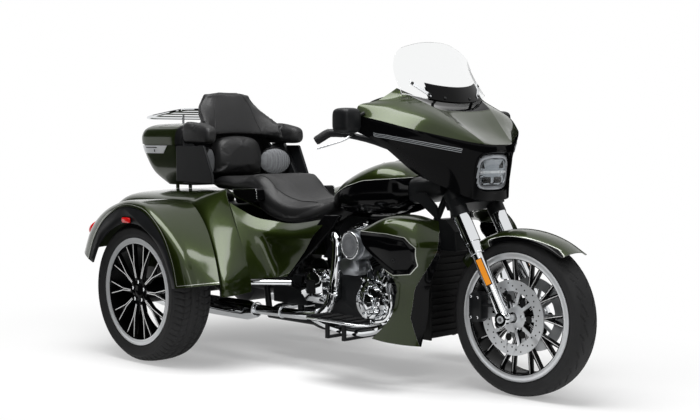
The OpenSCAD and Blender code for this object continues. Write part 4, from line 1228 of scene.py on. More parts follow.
@dataclass
class FrontEnd(Assembly):
    """Fork-mounted fairing, windshield, front fender, mirrors and the dressed fork."""

    home: ClassVar[Body] = Body.STEERING
    # Rows from the windshield down, each from the middle to the right tip.
    fairing: tuple = (
        ((560, 0, 1152), (545, -110, 1158), (470, -185, 1188), (388, -255, 1226), (356, -338, 1178), (331, -430, 1157)),
        ((628, 0, 1082), (612, -95, 1082), (530, -200, 1112), (466, -310, 1140), (388, -378, 1148), (330, -432, 1136)),
        ((712, 0, 1000), (700, -85, 1002), (628, -210, 1028), (550, -334, 1060), (434, -398, 1094), (332, -433, 1118)),
        ((700, 0, 890), (684, -100, 892), (598, -215, 925), (505, -310, 965), (412, -382, 1028), (328, -432, 1085)),
        ((684, 0, 774), (672, -112, 782), (575, -190, 832), (490, -262, 885), (405, -358, 992), (324, -428, 1052)))
    # Rows from the foot up, each from the middle to the right edge.
    screen: tuple = (
        ((500, 0, 1172), (486, -110, 1178), (456, -198, 1194), (420, -267, 1208)),
        ((462, 0, 1255), (446, -105, 1262), (408, -192, 1280), (362, -252, 1300)),
        ((412, 0, 1345), (398, -100, 1348), (372, -175, 1356), (348, -230, 1366)),
        ((368, 0, 1428), (360, -80, 1424), (350, -140, 1412), (342, -190, 1398)))
    # Rows from the top down, each from the middle to the left edge.
    dash: tuple = (
        ((455, 0, 1140), (432, 150, 1155), (370, 255, 1196), (334, 340, 1180), (318, 402, 1140)),
        ((438, 0, 1062), (416, 150, 1068), (368, 260, 1084), (332, 340, 1100), (312, 405, 1106)),
        ((462, 0, 988), (440, 150, 992), (392, 262, 1010), (346, 340, 1044), (318, 398, 1070)))
    # Rows from under the windshield to the nose, each from the middle to the right ridge.
    hood: tuple = (
        ((430, 0, 1180), (420, -150, 1192), (386, -260, 1229)), ((470, 0, 1158), (462, -125, 1166), (427, -222, 1197)),
        ((515, 0, 1135), (518, -100, 1137), (522, -176, 1146)), ((603, 0, 1066), (606, -72, 1069), (611, -132, 1079)),
        ((659, 0, 1030), (660, -58, 1032), (662, -107, 1040)), ((712, 0, 1000), (711, -48, 1001), (704, -90, 1006)))
    # Rows from the ridge down to the paint line, each from the right tip to the nose.
    flank: tuple = (
        ((386, -260, 1229), (427, -222, 1197), (522, -176, 1146), (611, -132, 1079), (662, -107, 1040),
         (704, -90, 1006)),
        ((357, -338, 1180), (424, -290, 1172), (537, -237, 1131), (620, -162, 1069), (665, -121, 1034),
         (702.6, -91, 1005)),
        ((333, -424, 1158), (425, -350, 1141), (548, -290, 1105), (626, -189, 1052), (668, -135, 1026),
         (701.3, -92, 1004)),
        ((332, -433, 1118), (434, -398, 1094), (550, -334, 1060), (628, -210, 1028), (668, -147, 1013),
         (700, -93, 1003)))
    lamp_half: float = 112.0
    lamp_low: float = 806.0
    lamp_high: float = 974.0
    fender_r: float = 349.0
    fender_half: float = 84.0
    # Angles of the fender's ends, and how far its front stands off.
    fender_ends: tuple = (140, 47)
    fender_flare: float = 24.0
    # Angle round the axle and the paint line's share of the fender radius.
    fender_line: tuple = ((47, 0.955), (53, 0.966), (65, 0.95), (82, 0.93), (100, 0.925), (140, 0.91))
    fender_stop: float = 111.0
    fork_y: float = 119.0
    fork_low: tuple = (839.5, 0.0, 315.0)
    fork_dir: tuple = (-0.4958, 0.0, 0.8684)

    def fairing_net(self) -> Net:
        """Surface of the whole fairing."""
        return Net.of(self.fairing, mirrored=True)

    def screen_net(self) -> Net:
        """Surface of the windshield."""
        return Net.of(self.screen[::-1], mirrored=True)

    def fender_crown(self, angle: Array) -> Array:
        """Radius of the front fender's crown at an angle in degrees."""
        return self.fender_r + self.fender_flare * (np.clip(90 - angle, 0, None) / (90 - self.fender_ends[1])) ** 2

    def fender_net(self) -> Net:
        """Surface of the front fender."""
        rows = []
        back, front = self.fender_ends
        for k in range(9):
            a = back + (front - back) * k / 8
            r = self.fender_crown(a)
            low = 0.81 + 0.12 * k / 8
            spots = ((0, 1), (0.5, 0.988), (0.86, 0.955), (1, (low + 0.955) / 2), (1, low))
            rows.append([polar(a, r * f, -self.fender_half * w, FRONT_AXLE) for w, f in spots])
        return Net.of(rows, mirrored=True)

    def fender_paint(self, points: Array) -> Array:
        """Distance above the front fender's paint line, or behind its upright end.

        Args:
            points: Grid of points of the panel.

        Returns:
            Distances in millimetres.
        """
        x, z = points[..., 0] - FRONT_AXLE[0], points[..., 2] - FRONT_AXLE[2]
        angle = np.degrees(np.arctan2(z, x))
        radius = np.hypot(x, z)
        a, share = np.asarray(self.fender_line, float).T
        above = radius - self.fender_crown(angle) * np.interp(angle, a, share)
        behind = np.radians(angle - self.fender_stop) * radius
        return np.maximum(above, behind)

    def lamp_hole(self, points: Array) -> Array:
        """Tells which points lie in the headlamp's opening.

        Args:
            points: Grid of points of the panel.

        Returns:
            1 inside and -1 outside.
        """
        mid, high = (self.lamp_low + self.lamp_high) / 2, (self.lamp_high - self.lamp_low) / 2
        y, z = np.abs(points[..., 1]) / (self.lamp_half - 4), np.abs(points[..., 2] - mid) / (high - 4)
        inside = y ** (2 / 0.45) + z ** (2 / 0.45) < 1
        return np.where(inside & (points[..., 0] > 600), 1.0, -1.0)

    def build(self) -> None:
        """Builds the front end's pieces."""
        net = self.fairing_net()
        hood = Net.of(self.hood, mirrored=True)
        upper = [panel("hood", hood, PanelCut((70, 80), 5.0, (2.0, 5.0)), Paint.OLIVE),
                 tubes("lip", [hood.path([(2.0, v) for v in np.linspace(0.05, 3.95, 9)], 48, -3.4)], 4.6, Paint.OLIVE,
                       16)]
        for flip in (False, True):
            upper.append(panel("flank", Net.of(self.flank), PanelCut((60, 110), 5.0), Paint.OLIVE, flip=flip))
        self.keep(merge("fairing_upper_skin", upper), "green_paint", "fairing_upper")
        tray = panel("vent_tray", hood, PanelCut((24, 48), 5.0, (0.0, 1.99)), Paint.BLACK)
        self.keep(tray, "gloss_black")
        # A near-black tube sunk along the seam between the panels: painted shade of the gap.
        seam = [net.path([(2.0, v) for v in np.linspace(0.06, 9.94, 30)], 160, -3.2)]
        self.keep(tubes("fairing_seam_shade", seam, 2.6, Paint.RECESS_SHADE, 8), "satin_black")
        lower = panel("fairing_lower_skin", net, PanelCut((110, 220), 5.0, (2.004, 4)), Paint.BLACK,
                      hole=self.lamp_hole)
        self.keep(soften(lower, 1.4), "gloss_black", "fairing_lower")
        self.build_screen()
        self.build_fender()
        self.build_mirrors()
        self.build_fork()

    def build_screen(self) -> None:
        """Builds the windshield with its foot band, brackets and screws."""
        net = self.screen_net()
        sheet = panel("windshield_sheet", net, PanelCut((48, 80), 4.0), Paint.SCREEN)
        self.keep(soften(sheet, 1.2, 3), "windshield", "windshield")
        u, v = np.linspace(2.2, 3.0, 6), np.linspace(1.5, 4.9, 13)
        band = panel("windshield_band", Net.of(net.at(u, v) + 2.4 * net.normal(u, v)), PanelCut((10, 60), 2.0),
                     Paint.BLACK)
        self.keep(soften(band, 0.8), "gloss_black")
        parts = [panel("dash", Net.of(self.dash, mirrored=True), PanelCut((24, 60), 6.0), Paint.SATIN),
                 panel("backing", Net.of(net.at(u[1:], v) - 5.0 * net.normal(u[1:], v)), PanelCut((8, 40), 4.0),
                       Paint.SATIN)]
        for side in (-1, 1):
            for way in ([(428, side * 150, 1120), (476, side * 110, 1190)],
                        [(368, side * 260, 1084), (458, side * 296, 1128)]):
                parts.append(tubes("stay", [way], 6.0, Paint.SATIN, 14))
        self.keep(merge("inner_fairing_skin", parts), "satin_black", "inner_fairing")
        brackets, places = [], []
        for start, way in ((0.75, 1), (5.25, -1)):
            rows = []
            for off in (-0.1, 0.0, 0.1):
                run = [(2.35 + 0.085 * k + off, start + way * 0.17 * k) for k in range(6)]
                rows.append([net.spot(u, v, 6.0) for u, v in run][::way])
            brackets.append(soften(panel("bracket", Net.of(rows), PanelCut((6, 18), 3.0), Paint.TURNED), 1.2))
            places += [(2.35 + 0.085 * k, start + way * 0.17 * k, 5.5) for k in (0.5, 4.5)]
        places += [(2.78, v, 2.0) for v in (2.3, 3.7)]
        spots = [net.spot(*place) for place in places]
        faces = [net.normal([u], [v])[0, 0] for u, v, _lift in places]
        self.keep(merge("windshield_brackets", brackets), "steel")
        self.keep(heads("windshield_screws", spots, faces, 6.5, 3.0, Paint.SATIN, 12), "satin_black")

    def build_fender(self) -> None:
        """Builds the front fender with its straps."""
        skin = panel("front_fender_skin", self.fender_net(), PanelCut((160, 96), 5.0), Paint.TWO_TONE,
                     line=self.fender_paint)
        low, way = np.array(self.fork_low), np.array(self.fork_dir)
        parts = [soften(skin, 1.6)]
        strap = low + 310 * way
        for side in (-1, 1):
            a, b = strap + [0, side * (self.fender_half - 3), 0], strap + [0, side * (self.fork_y - 30.4), 0]
            parts.append(tubes("strap", [[a, b]], 9.0, Paint.BLACK, 16))
        self.keep(merge("front_fender_skin", parts), "green_paint", "front_fender")

    def build_mirrors(self) -> None:
        """Builds the mirror housings on the fairing's ends with their glass."""
        tip = self.fairing_net()
        shells, glass = [], []
        for side in (-1, 1):
            rows = trace(((282, 36, 1056, 1136), (286, 43, 1049, 1143), (300, 46, 1046, 1146), (325, 47, 1045, 1147),
                          (348, 46, 1046, 1146), (362, 41, 1051, 1141), (368, 32, 1060, 1132)), 36)
            shells.append(loft("shell", [ring_across(x, h, lo, hi, 0.5, 64, side * 484) for x, h, lo, hi in rows],
                               Paint.SATIN))
            foot = tip.at([1.5], [0.4167 if side < 0 else 9.5833])[0, 0]
            shells.append(tubes("stem", [[(330, side * 470, 1100), foot]], 6.0, Paint.SATIN, 14))
            rings = [ring_across(x, h, lo, hi, 0.5, 64, side * 484) for x, h, lo, hi in (
                (282.5, 37, 1055, 1137), (280.2, 37, 1055, 1137), (279.6, 34, 1058, 1134))]
            glass.append(loft("glass", rings, Paint.MIRROR))
        self.keep(merge("mirror_shells", shells), "satin_black", "mirrors")
        self.keep(merge("mirror_glass", glass), "chrome")

    def build_fork(self) -> None:
        """Dresses the fork, the bars and the brakes, and adds their fittings."""
        self.dress(Paint.CHROME, "fork_legs")
        self.dress(Paint.SATIN, "triple_clamp", "handlebar")
        self.dress(Paint.TURNED, "front_axle")
        self.dress(Paint.SATIN, "brake_calipers", round_mm=2.0)
        low, way = np.array(self.fork_low), np.array(self.fork_dir)
        fore = np.array([0.8684, 0.0, 0.4958])
        collars, lens, backs, spots, faces = [], [], [], [], []
        for side in (-1, 1):
            leg = low + [0, side * self.fork_y, 0]
            for at, wide, tall in ((286, 31.0, 7), (120, 27.2, 5), (30, 28.0, 34), (478, 31.2, 16)):
                ring = np.array([leg + at * way + wide * (math.cos(t) * fore + math.sin(t) * np.array([0, 1.0, 0]))
                                 for t in turns(40)])
                steps = ((0, 0.06), (1.2, 0), (tall - 1.2, 0), (tall, 0.06))
                rings = [ring + d * way - (ring - leg - at * way) * shrink for d, shrink in steps]
                collars.append(loft("collar", rings, Paint.CHROME))
            out = np.array([0.45 * 0.8684, side * 0.89, 0.45 * 0.4958])
            out /= np.linalg.norm(out)
            across = np.cross(out, way)
            for made, grow, lift, paint in ((backs, 3.0, 26.5, Paint.SATIN), (lens, 0.0, 29.5, Paint.AMBER)):
                frame_of = [leg + (150 + (a + 1) * 55) * way + out * lift + across * b * (11 + grow) + way * a * grow
                            for a, b in ((-1, -1), (-1, 1), (1, 1), (1, -1))]
                rings = [np.array(frame_of), np.array(frame_of) + out * 3.5]
                made.append(soften(loft("reflector", rings, paint), 1.2))
            boss = revolve("boss", [(15, 0), (27, 0), (29, 3), (29, 22), (26, 27), (15, 27)],
                           (835.5, side * 122 if side > 0 else -149, 319), Paint.CHROME, 64)
            collars.append(boss)
            for at in (14, 46):
                spots.append(leg + at * way + fore * 26 + [0, side * 4, 0])
                faces.append(fore)
            for dx, dz in ((-18, -42), (16, -40), (-18, 42), (16, 40)):
                spots.append((690 + dx, side * 126, 352 + dz))
                faces.append((0, side, 0))
        sleeves = ((458, 566), 36.0, Paint.SATIN), ((338, 459), 34.0, Paint.CHROME)
        shrouds = [tubes("shroud", [[low + k * way + [0, side * self.fork_y, 0] for k in span]], wide, paint, 40)
                   for side in (-1, 1) for span, wide, paint in sleeves]
        self.keep(merge("fork_shrouds", shrouds), "chrome")
        self.keep(merge("fork_collars", collars), "chrome")
        self.keep(merge("reflector_bases", backs), "satin_black")
        self.keep(merge("amber_reflectors", lens), "lamp_lens")
        self.keep(heads("fork_bolts", spots, faces, 6.0, 5.0, Paint.CHROME), "chrome")
        self.build_bars()

    def build_bars(self) -> None:
        """Adds grip ribs, levers and their perches to the handlebar."""
        ribs, levers, perches = [], [], []
        for side in (-1, 1):
            grip = trace(((134, -474, 1014), (158, -457, 1032), (181, -440, 1047), (222, -409, 1046)), 44)
            grip = grip * [1, side, 1]
            for k in range(4, 30, 2):
                d = grip[k + 1] - grip[k - 1]
                d /= np.linalg.norm(d)
                p = np.cross(d, (0, 0, 1.0))
                p /= np.linalg.norm(p)
                q = np.cross(d, p)
                ribs.append([grip[k] + 17.2 * (math.cos(t) * p + math.sin(t) * q)
                             for t in turns(28)])
            way = trace(((262, -392, 1040), (246, -420, 1020), (205, -462, 1000), (160, -492, 984)), 20) * [1, side, 1]
            levers.append(way)
            perches.append(tubes("perch", [[way[0] + [4, 0, 10], way[2]]], 11.0, Paint.SATIN, 14))
        self.keep(tubes("grip_ribs", ribs, 1.8, Paint.PAD, 6, closed=True), "satin_black")
        self.keep(tubes("hand_levers", levers, 4.6, Paint.CHROME), "chrome")
        self.keep(merge("lever_perches", perches), "satin_black")


@dataclass
class Lamps(Assembly):
    """Headlamp, light bars, tail lamps and side markers."""

    home: ClassVar[Body] = Body.STEERING
    half: float = 102.0
    low: float = 816.0
    high: float = 963.0
    power: float = 0.5
    # Height about which the rings lean, and how strongly they bend back.
    lean_z: float = 890.0
    bend: float = 0.0018
    bar_high: tuple = (2.82, 2.63, 2.5, 2.41, 2.36, 2.33, 2.31, 2.3)
    bar_low: tuple = (3.22, 2.9, 2.72, 2.61, 2.55, 2.53, 2.51, 2.5)

    def ring(self, x: float, grow: float, lean: float = 0.1) -> Array:
        """Ring round the headlamp, bent and leaning like the nose.

        Args:
            x: Place along the trike.
            grow: How far it is grown outwards.
            lean: How far it leans.

        Returns:
            The ring's points.
        """
        ring = ring_across(x, self.half + grow, self.low - grow, self.high + grow, self.power, 96)
        ring[:, 0] += lean * (ring[:, 2] - self.lean_z) - self.bend * ring[:, 1] ** 2
        return ring

    def build(self) -> None:
        """Builds the lamps."""
        well = loft("headlamp_well", [self.ring(x, g, lean) for x, g, lean in (
            (652, 4, 0.1), (676, 4, 0.1), (696, 9, 0.16), (703, 15, 0.17),
            (704, 12, 0.17), (696, 4, 0.16), (678, 0, 0.1), (652, 0, 0.1))], Paint.BLACK, closed=True)
        self.keep(well, "gloss_black")
        bezel = loft("headlamp_bezel", [self.ring(x, g) for x, g in (
            (662, 0), (684, 0), (690, -2), (692, -7), (689, -17), (682, -21), (662, -21))], Paint.CAST, closed=True)
        self.keep(bezel, "chrome", "headlamp")
        bowl = loft("headlamp_bowl", [self.ring(x, g) for x, g in (
            (680, -20), (676, -24), (660, -30), (652, -38), (648, -38), (644, -20))], Paint.CAST)
        self.keep(bowl, "chrome")
        mid = (self.low + self.high) / 2
        bar = loft("headlamp_divider", [ring_across(x, self.half - 21, mid - h, mid + h, 0.3, 40)
                                        for x, h in ((636, 9), (668, 7), (678, 5))], Paint.TURNED)
        self.keep(bar, "chrome")
        pods, eyes, cell_shades = [], [], []
        for y, z in ((-64, mid - 30), (0, mid - 30), (64, mid - 30)):
            pods.append(revolve("pod", [(10, 640), (19, 640), (20, 668), (18, 672), (16, 670), (12, 656), (10, 654)],
                                (0, y, z), Paint.SATIN, 48, "x"))
            eyes.append(revolve("eye", [(0.3, 654), (12, 654), (11, 660), (8, 664), (4, 666), (0.3, 667)], (0, y, z),
                                Paint.LENS, 36, "x"))
        # Near-black blocks above and below the pods: painted shade in the headlamp's cells.
        for y, wide, low, high in ((-50, 13, 14, 51), (-16, 12, 20, 51), (16, 12, 20, 51), (50, 13, 14, 51),
                                   (-34, 20, -44, -20), (34, 20, -44, -20)):
            rings = [ring_across(x, wide, mid + low, mid + high, 0.3, 20, y) for x in (650, 676)]
            cell_shades.append(soften(loft("cell_shade", rings, Paint.RECESS_SHADE), 1.0))
        self.keep(merge("headlamp_pods", pods), "satin_black")
        self.keep(merge("headlamp_eyes", eyes), "lamp_lens")
        self.keep(merge("headlamp_cell_shades", cell_shades), "satin_black")
        rings = [self.ring(x, g) for x, g in (
            (683, -20), (686, -20), (689, -32), (691, -48), (691.5, -68), (687.5, -68), (686, -44))]
        self.keep(loft("headlamp_cover", rings, Paint.LENS), "lamp_lens")
        self.build_bars()
        self.build_tail()

    def build_bars(self) -> None:
        """Builds the ribbed light bars on the fairing's sides."""
        net = FrontEnd().fairing_net()
        bases, strips = [], []
        for side in (-1, 1):
            v = np.linspace(0.75, 3.35, 40) if side < 0 else np.linspace(9.25, 6.65, 40)
            for share in (0.2, 0.5, 0.8):
                u = trace(np.array(self.bar_high) * (1 - share) + np.array(self.bar_low) * share, 39)
                strips.append(np.array([net.spot(a, b, 2.4) for a, b in zip(u, v)]))
            u0, u1 = trace(self.bar_high, 8), trace(self.bar_low, 8)
            w = np.linspace(v[0], v[-1], 9)
            rows = [[net.at([a + (b - a) * t], [c])[0, 0] + 1.4 * net.normal([a], [c])[0, 0]
                     for a, b, c in zip(u0, u1, w)]
                    for t in (0, 0.33, 0.67, 1)]
            grid = np.array(rows) if side < 0 else np.array(rows)[:, ::-1]
            bases.append(soften(panel("base", Net.of(grid), PanelCut((8, 40), 2.0), Paint.BLACK), 0.6))
        self.keep(merge("light_bar_bases", bases), "gloss_black")
        self.keep(tubes("light_bars", strips, 1.1, Paint.LED, 8), "lamp_lens")

    def build_tail(self) -> None:
        """Dresses the tail lamps and side markers and adds their rims."""
        self.dress(Paint.RED, "rear_lamps", round_mm=1.5)
        rims = []
        for side in (-1, 1):
            outline = [(-838.5 + dx, side * 735.6, 655 + dz) for dx, dz in (
                (-34, -9), (-28, -14), (28, -14), (34, -9), (34, 9), (28, 14), (-28, 14), (-34, 9))]
            rims.append(np.array(outline))
        self.keep(tubes("marker_rims", rims, 1.8, Paint.BLACK, 8, closed=True), "gloss_black", body=Body.CHASSIS)


@dataclass
class Wheel(Assembly):
    """One wheel: treaded tyre, polished lip, machined spoke edges and hub fittings."""

    label: str
    body: Body
    centre: tuple
    radius: float
    width: float
    rim_r: float
    hub_r: float
    spoke_face: float
    street: bool
    prong: float = 11.0
    spokes: int = 10
    tread_deep: float = 5.0
    around: int = 540
    across: int = 72

    def section(self) -> Array:
        """Radius and place across of the tyre's outer surface, from bead to bead."""
        r, w, b = self.radius, self.width, self.rim_r
        half = [(b, -0.4 * w), (b + 16, -0.46 * w), (b + 0.55 * (r - b), -0.5 * w), (r - 0.13 * w, -0.46 * w),
                (r - 0.045 * w, -0.37 * w), (r - 0.008 * w, -0.2 * w), (r, 0)]
        return trace(half + [(q, -y) for q, y in half[-2::-1]], self.across)

    def groove(self, turn: Array, y: Array) -> Array:
        """Depth of the tread, from 0 to 1.

        Args:
            turn: Angle round the axle.
            y: Place across the tyre in millimetres.

        Returns:
            1 at the bottom of a groove and 0 on the tread.
        """
        w, away = self.width, np.abs(y)

        def cut(distance: Array, half: float) -> Array:
            """1 within half a groove's width, falling to 0 over 2 mm."""
            return ease((half - np.abs(distance)) / 2.0 + 0.5)

        def pitch(count: int, lean: float, start: float) -> Array:
            """Distance along the tread to the nearest groove.

            Args:
                count: Number of grooves.
                lean: How far they lean.
                start: Share of a step that they start at.

            Returns:
                Distances in millimetres.
            """
            step = 2 * np.pi * self.radius / count
            s = turn * self.radius - lean * away - start * step
            return (s + step / 2) % step - step / 2

        if self.street:
            around = np.maximum(cut(away - 0.1 * w, 3.6), cut(away - 0.27 * w, 3.6))
            blocks = cut(pitch(66, 0.35, 0.0), 2.4) * ((away > 0.27 * w) & (away < 0.47 * w))
            sipes = cut(pitch(66, -0.5, 0.5), 1.6) * ((away > 0.1 * w) & (away < 0.27 * w))
            middle = cut(pitch(66, 0.7, 0.25), 1.6) * (away < 0.1 * w) * (y > 0)
            return np.maximum.reduce([around, blocks, sipes, middle])
        left = (y > 0) * 0.5
        long = cut(pitch(27, 1.9, left), 2.6) * ease((away - 0.1 * w) / 5) * ease((0.36 * w - away) / 6)
        short = cut(pitch(27, 1.5, left + 0.5), 2.2) * ease((away - 0.25 * w) / 5) * ease((0.43 * w - away) / 6)
        return np.maximum(long, short)

    def build(self) -> None:
        """Builds the wheel's pieces."""
        rubber = self.section()
        turn = turns(self.around)
        a, y = np.meshgrid(turn, rubber[:, 1], indexing="ij")
        r = np.repeat(rubber[None, :, 0], self.around, 0)
        tread = ease((r - (self.radius - 0.14 * self.width)) / 8)
        rib = 1.2 * (np.abs(r - self.rim_r - 22) < 2.5) + 0.9 * (np.abs(r - self.rim_r - 9) < 2)
        r = r - self.tread_deep * self.groove(a, y) * tread
        y = y + np.sign(y) * rib
        points = np.stack([r * np.cos(a), y, r * np.sin(a)], -1) + self.centre
        n = rubber.shape[0]
        faces = [(i * n + j, i * n + (j + 1) % n, ((i + 1) % self.around) * n + (j + 1) % n,
                  ((i + 1) % self.around) * n + j)
                 for i in range(self.around) for j in range(n)]
        tyre = outward(mesh_object(f"{self.label}_tyre_tread", points, faces, Paint.TYRE, 50.0))
        self.keep(tyre, "tyre", self.node("tyre"), body=self.body)
        self.dress(Paint.WHEEL, self.node("rim"), round_mm=1.5)
        self.build_lips()
        self.build_edges()

    def node(self, kind: str) -> str:
        """Name of the wheel's CAD tyre or rim."""
        return f"front_{kind}" if self.label == "front" else f"rear_{kind}_{self.label[5:]}"

    def faces(self) -> tuple[tuple[float, float], ...]:
        """Place and direction of each spoke face along the axle."""
        if self.label == "front":
            return (-self.spoke_face, -1.0), (self.spoke_face, 1.0)
        side = -1.0 if self.centre[1] < 0 else 1.0
        return ((side * self.spoke_face, side),)

    def build_lips(self) -> None:
        """Builds the polished lips on the rim's edges."""
        lips = []
        for side in (-1, 1):
            y = side * self.width * 0.42
            w = self.rim_r
            profile = [(w + dr, y + side * dy) for dr, dy in (
                (-25, -9), (-23, 0.5), (-19, 2.2), (-8, 2.6), (-2, 2.2), (1.5, 3.8), (2.5, 1.5), (-0.5, -3))]
            lips.append(revolve("lip", profile, self.centre, Paint.TURNED, 160))
        self.keep(merge(f"{self.label}_rim_lips", lips), "wheel_black", body=self.body)

    def build_edges(self) -> None:
        """Builds the machined edges of the spokes and the hub's fittings."""
        r, r0 = self.rim_r - 24, self.hub_r - 2
        tip, root = r * math.tan(math.radians(7.2)), (self.hub_r - 4) + ((self.rim_r - 20) - (self.hub_r - 4)) * 0.42
        p = self.prong
        lines = [((r0 + 10, s * 0.25 * p), (root, s * 0.4 * p), (r, s * tip)) for s in (-1, 1)]
        pieces = []
        for face, side in self.faces():
            verts, quads = [], []
            for line in lines:
                line = np.asarray(line, float)
                d = np.diff(line, axis=0)
                d /= np.linalg.norm(d, axis=1, keepdims=True)
                d = np.vstack([d[:1], (d[:-1] + d[1:]) / 2, d[-1:]])
                n = np.stack([-d[:, 1], d[:, 0]], 1)
                at = len(verts)
                for q, m in zip(line, n):
                    for off, lift in ((-1.7, 0.0), (-1.2, 0.9), (1.2, 0.9), (1.7, 0.0)):
                        s = q + m * off
                        verts.append((s[0] * 0.001, (face + side * lift) * 0.001, s[1] * 0.001))
                quads += skin_faces(len(line), 4, True, at)
                quads += [(at, at + 1, at + 2, at + 3), tuple(at + 4 * (len(line) - 1) + j for j in (3, 2, 1, 0))]
            mesh = bpy.data.meshes.new("spoke_edge")
            mesh.from_pydata(verts, [], quads)
            work = bmesh.new()
            work.from_mesh(mesh)
            bmesh.ops.recalc_face_normals(work, faces=work.faces)
            work.to_mesh(mesh)
            work.free()
            pieces.append(RING.run("edges", mesh, Paint.TURNED, 30.0, Count=self.spokes,
                                   Centre=tuple(to_row(np.array(self.centre))), Start=0.0))
        self.keep(merge(f"{self.label}_spoke_edges", pieces), "steel", body=self.body)
        if self.label == "front":
            self.build_disc_details()
        else:
            self.build_hub()

    def build_hub(self) -> None:
        """Builds the cap and lug nuts of a rear wheel."""
        side = self.faces()[0][1]
        x, y, z = self.centre
        profile = [(r, side * h) for r, h in ((0.4, 86), (18, 85), (28, 82), (32, 78), (32, 74), (0.4, 74))]
        cap = revolve(f"{self.label}_hub_cap", profile, self.centre, Paint.BLACK, 72)
        self.keep(cap, "gloss_black", body=self.body)
        spots = [(x + 44 * math.cos(t), y + side * 75, z + 44 * math.sin(t))
                 for t in np.arange(5) * 2 * np.pi / 5 + 0.3]
        self.keep(heads(f"{self.label}_lug_nuts", spots, [(0, side, 0)] * 5, 9.5, 10.0, Paint.CHROME), "chrome",
                  body=self.body)

    def build_disc_details(self) -> None:
        """Paints the brake discs' holes and ports as near-black discs, as painted shade, and bolts the discs to the
        hub.
        """
        self.dress(Paint.DISC, "front_discs", round_mm=0.6)
        holes, bolts, faces, bolt_faces = [], [], [], []
        for side in (-1, 1):
            for k in range(40):
                t = k * 2 * np.pi / 40
                r = (118, 129, 140)[k % 3] - 2
                holes.append((self.centre[0] + r * math.cos(t), side * 71.05, self.centre[2] + r * math.sin(t)))
                faces.append((0, side, 0))
            for k in range(5):
                t = k * 2 * np.pi / 5 + 0.2
                bolts.append((self.centre[0] + 48 * math.cos(t), side * 71, self.centre[2] + 48 * math.sin(t)))
                bolt_faces.append((0, side, 0))
        # The holes and ports are flat near-black discs on the faces: painted shade, not cut through.
        self.keep(heads("disc_hole_shades", holes, faces, 3.4, 0.15, Paint.RECESS_SHADE, 12), "satin_black", body=self.body)
        ports = [(self.centre[0] + 80 * math.cos(t), side * 71.05, self.centre[2] + 80 * math.sin(t))
                 for side in (-1, 1) for t in np.arange(7) * 2 * np.pi / 7]
        self.keep(heads("disc_port_shades", ports, [(0, np.sign(q[1]), 0) for q in ports], 15.0, 0.15, Paint.RECESS_SHADE, 24),
                  "satin_black", body=self.body)
        self.keep(heads("disc_bolts", bolts, bolt_faces, 6.0, 5.0, Paint.CHROME), "chrome", body=self.body)


def drape(obj: Piece, path: Array, down: tuple[float, float, float], lift: float) -> Array:
    """Lays a path on a piece.

    Args:
        obj: The piece.
        path: Points in drawing millimetres beside the piece.
        down: Direction in which the path falls onto it.
        lift: Height of the laid path above the surface in millimetres.

    Returns:
        The points that met the piece, in drawing millimetres.
    """
    tree = BVHTree.FromObject(obj, bpy.context.evaluated_depsgraph_get())
    laid = []
    for point in to_row(path):
        spot, normal, _face, _far = tree.ray_cast(Vector(point), Vector(down))
        if spot is not None:
            laid.append(np.array(spot + normal * lift * 0.001) * 1000 + [MID_X, 0, 0])
    return np.array(laid)


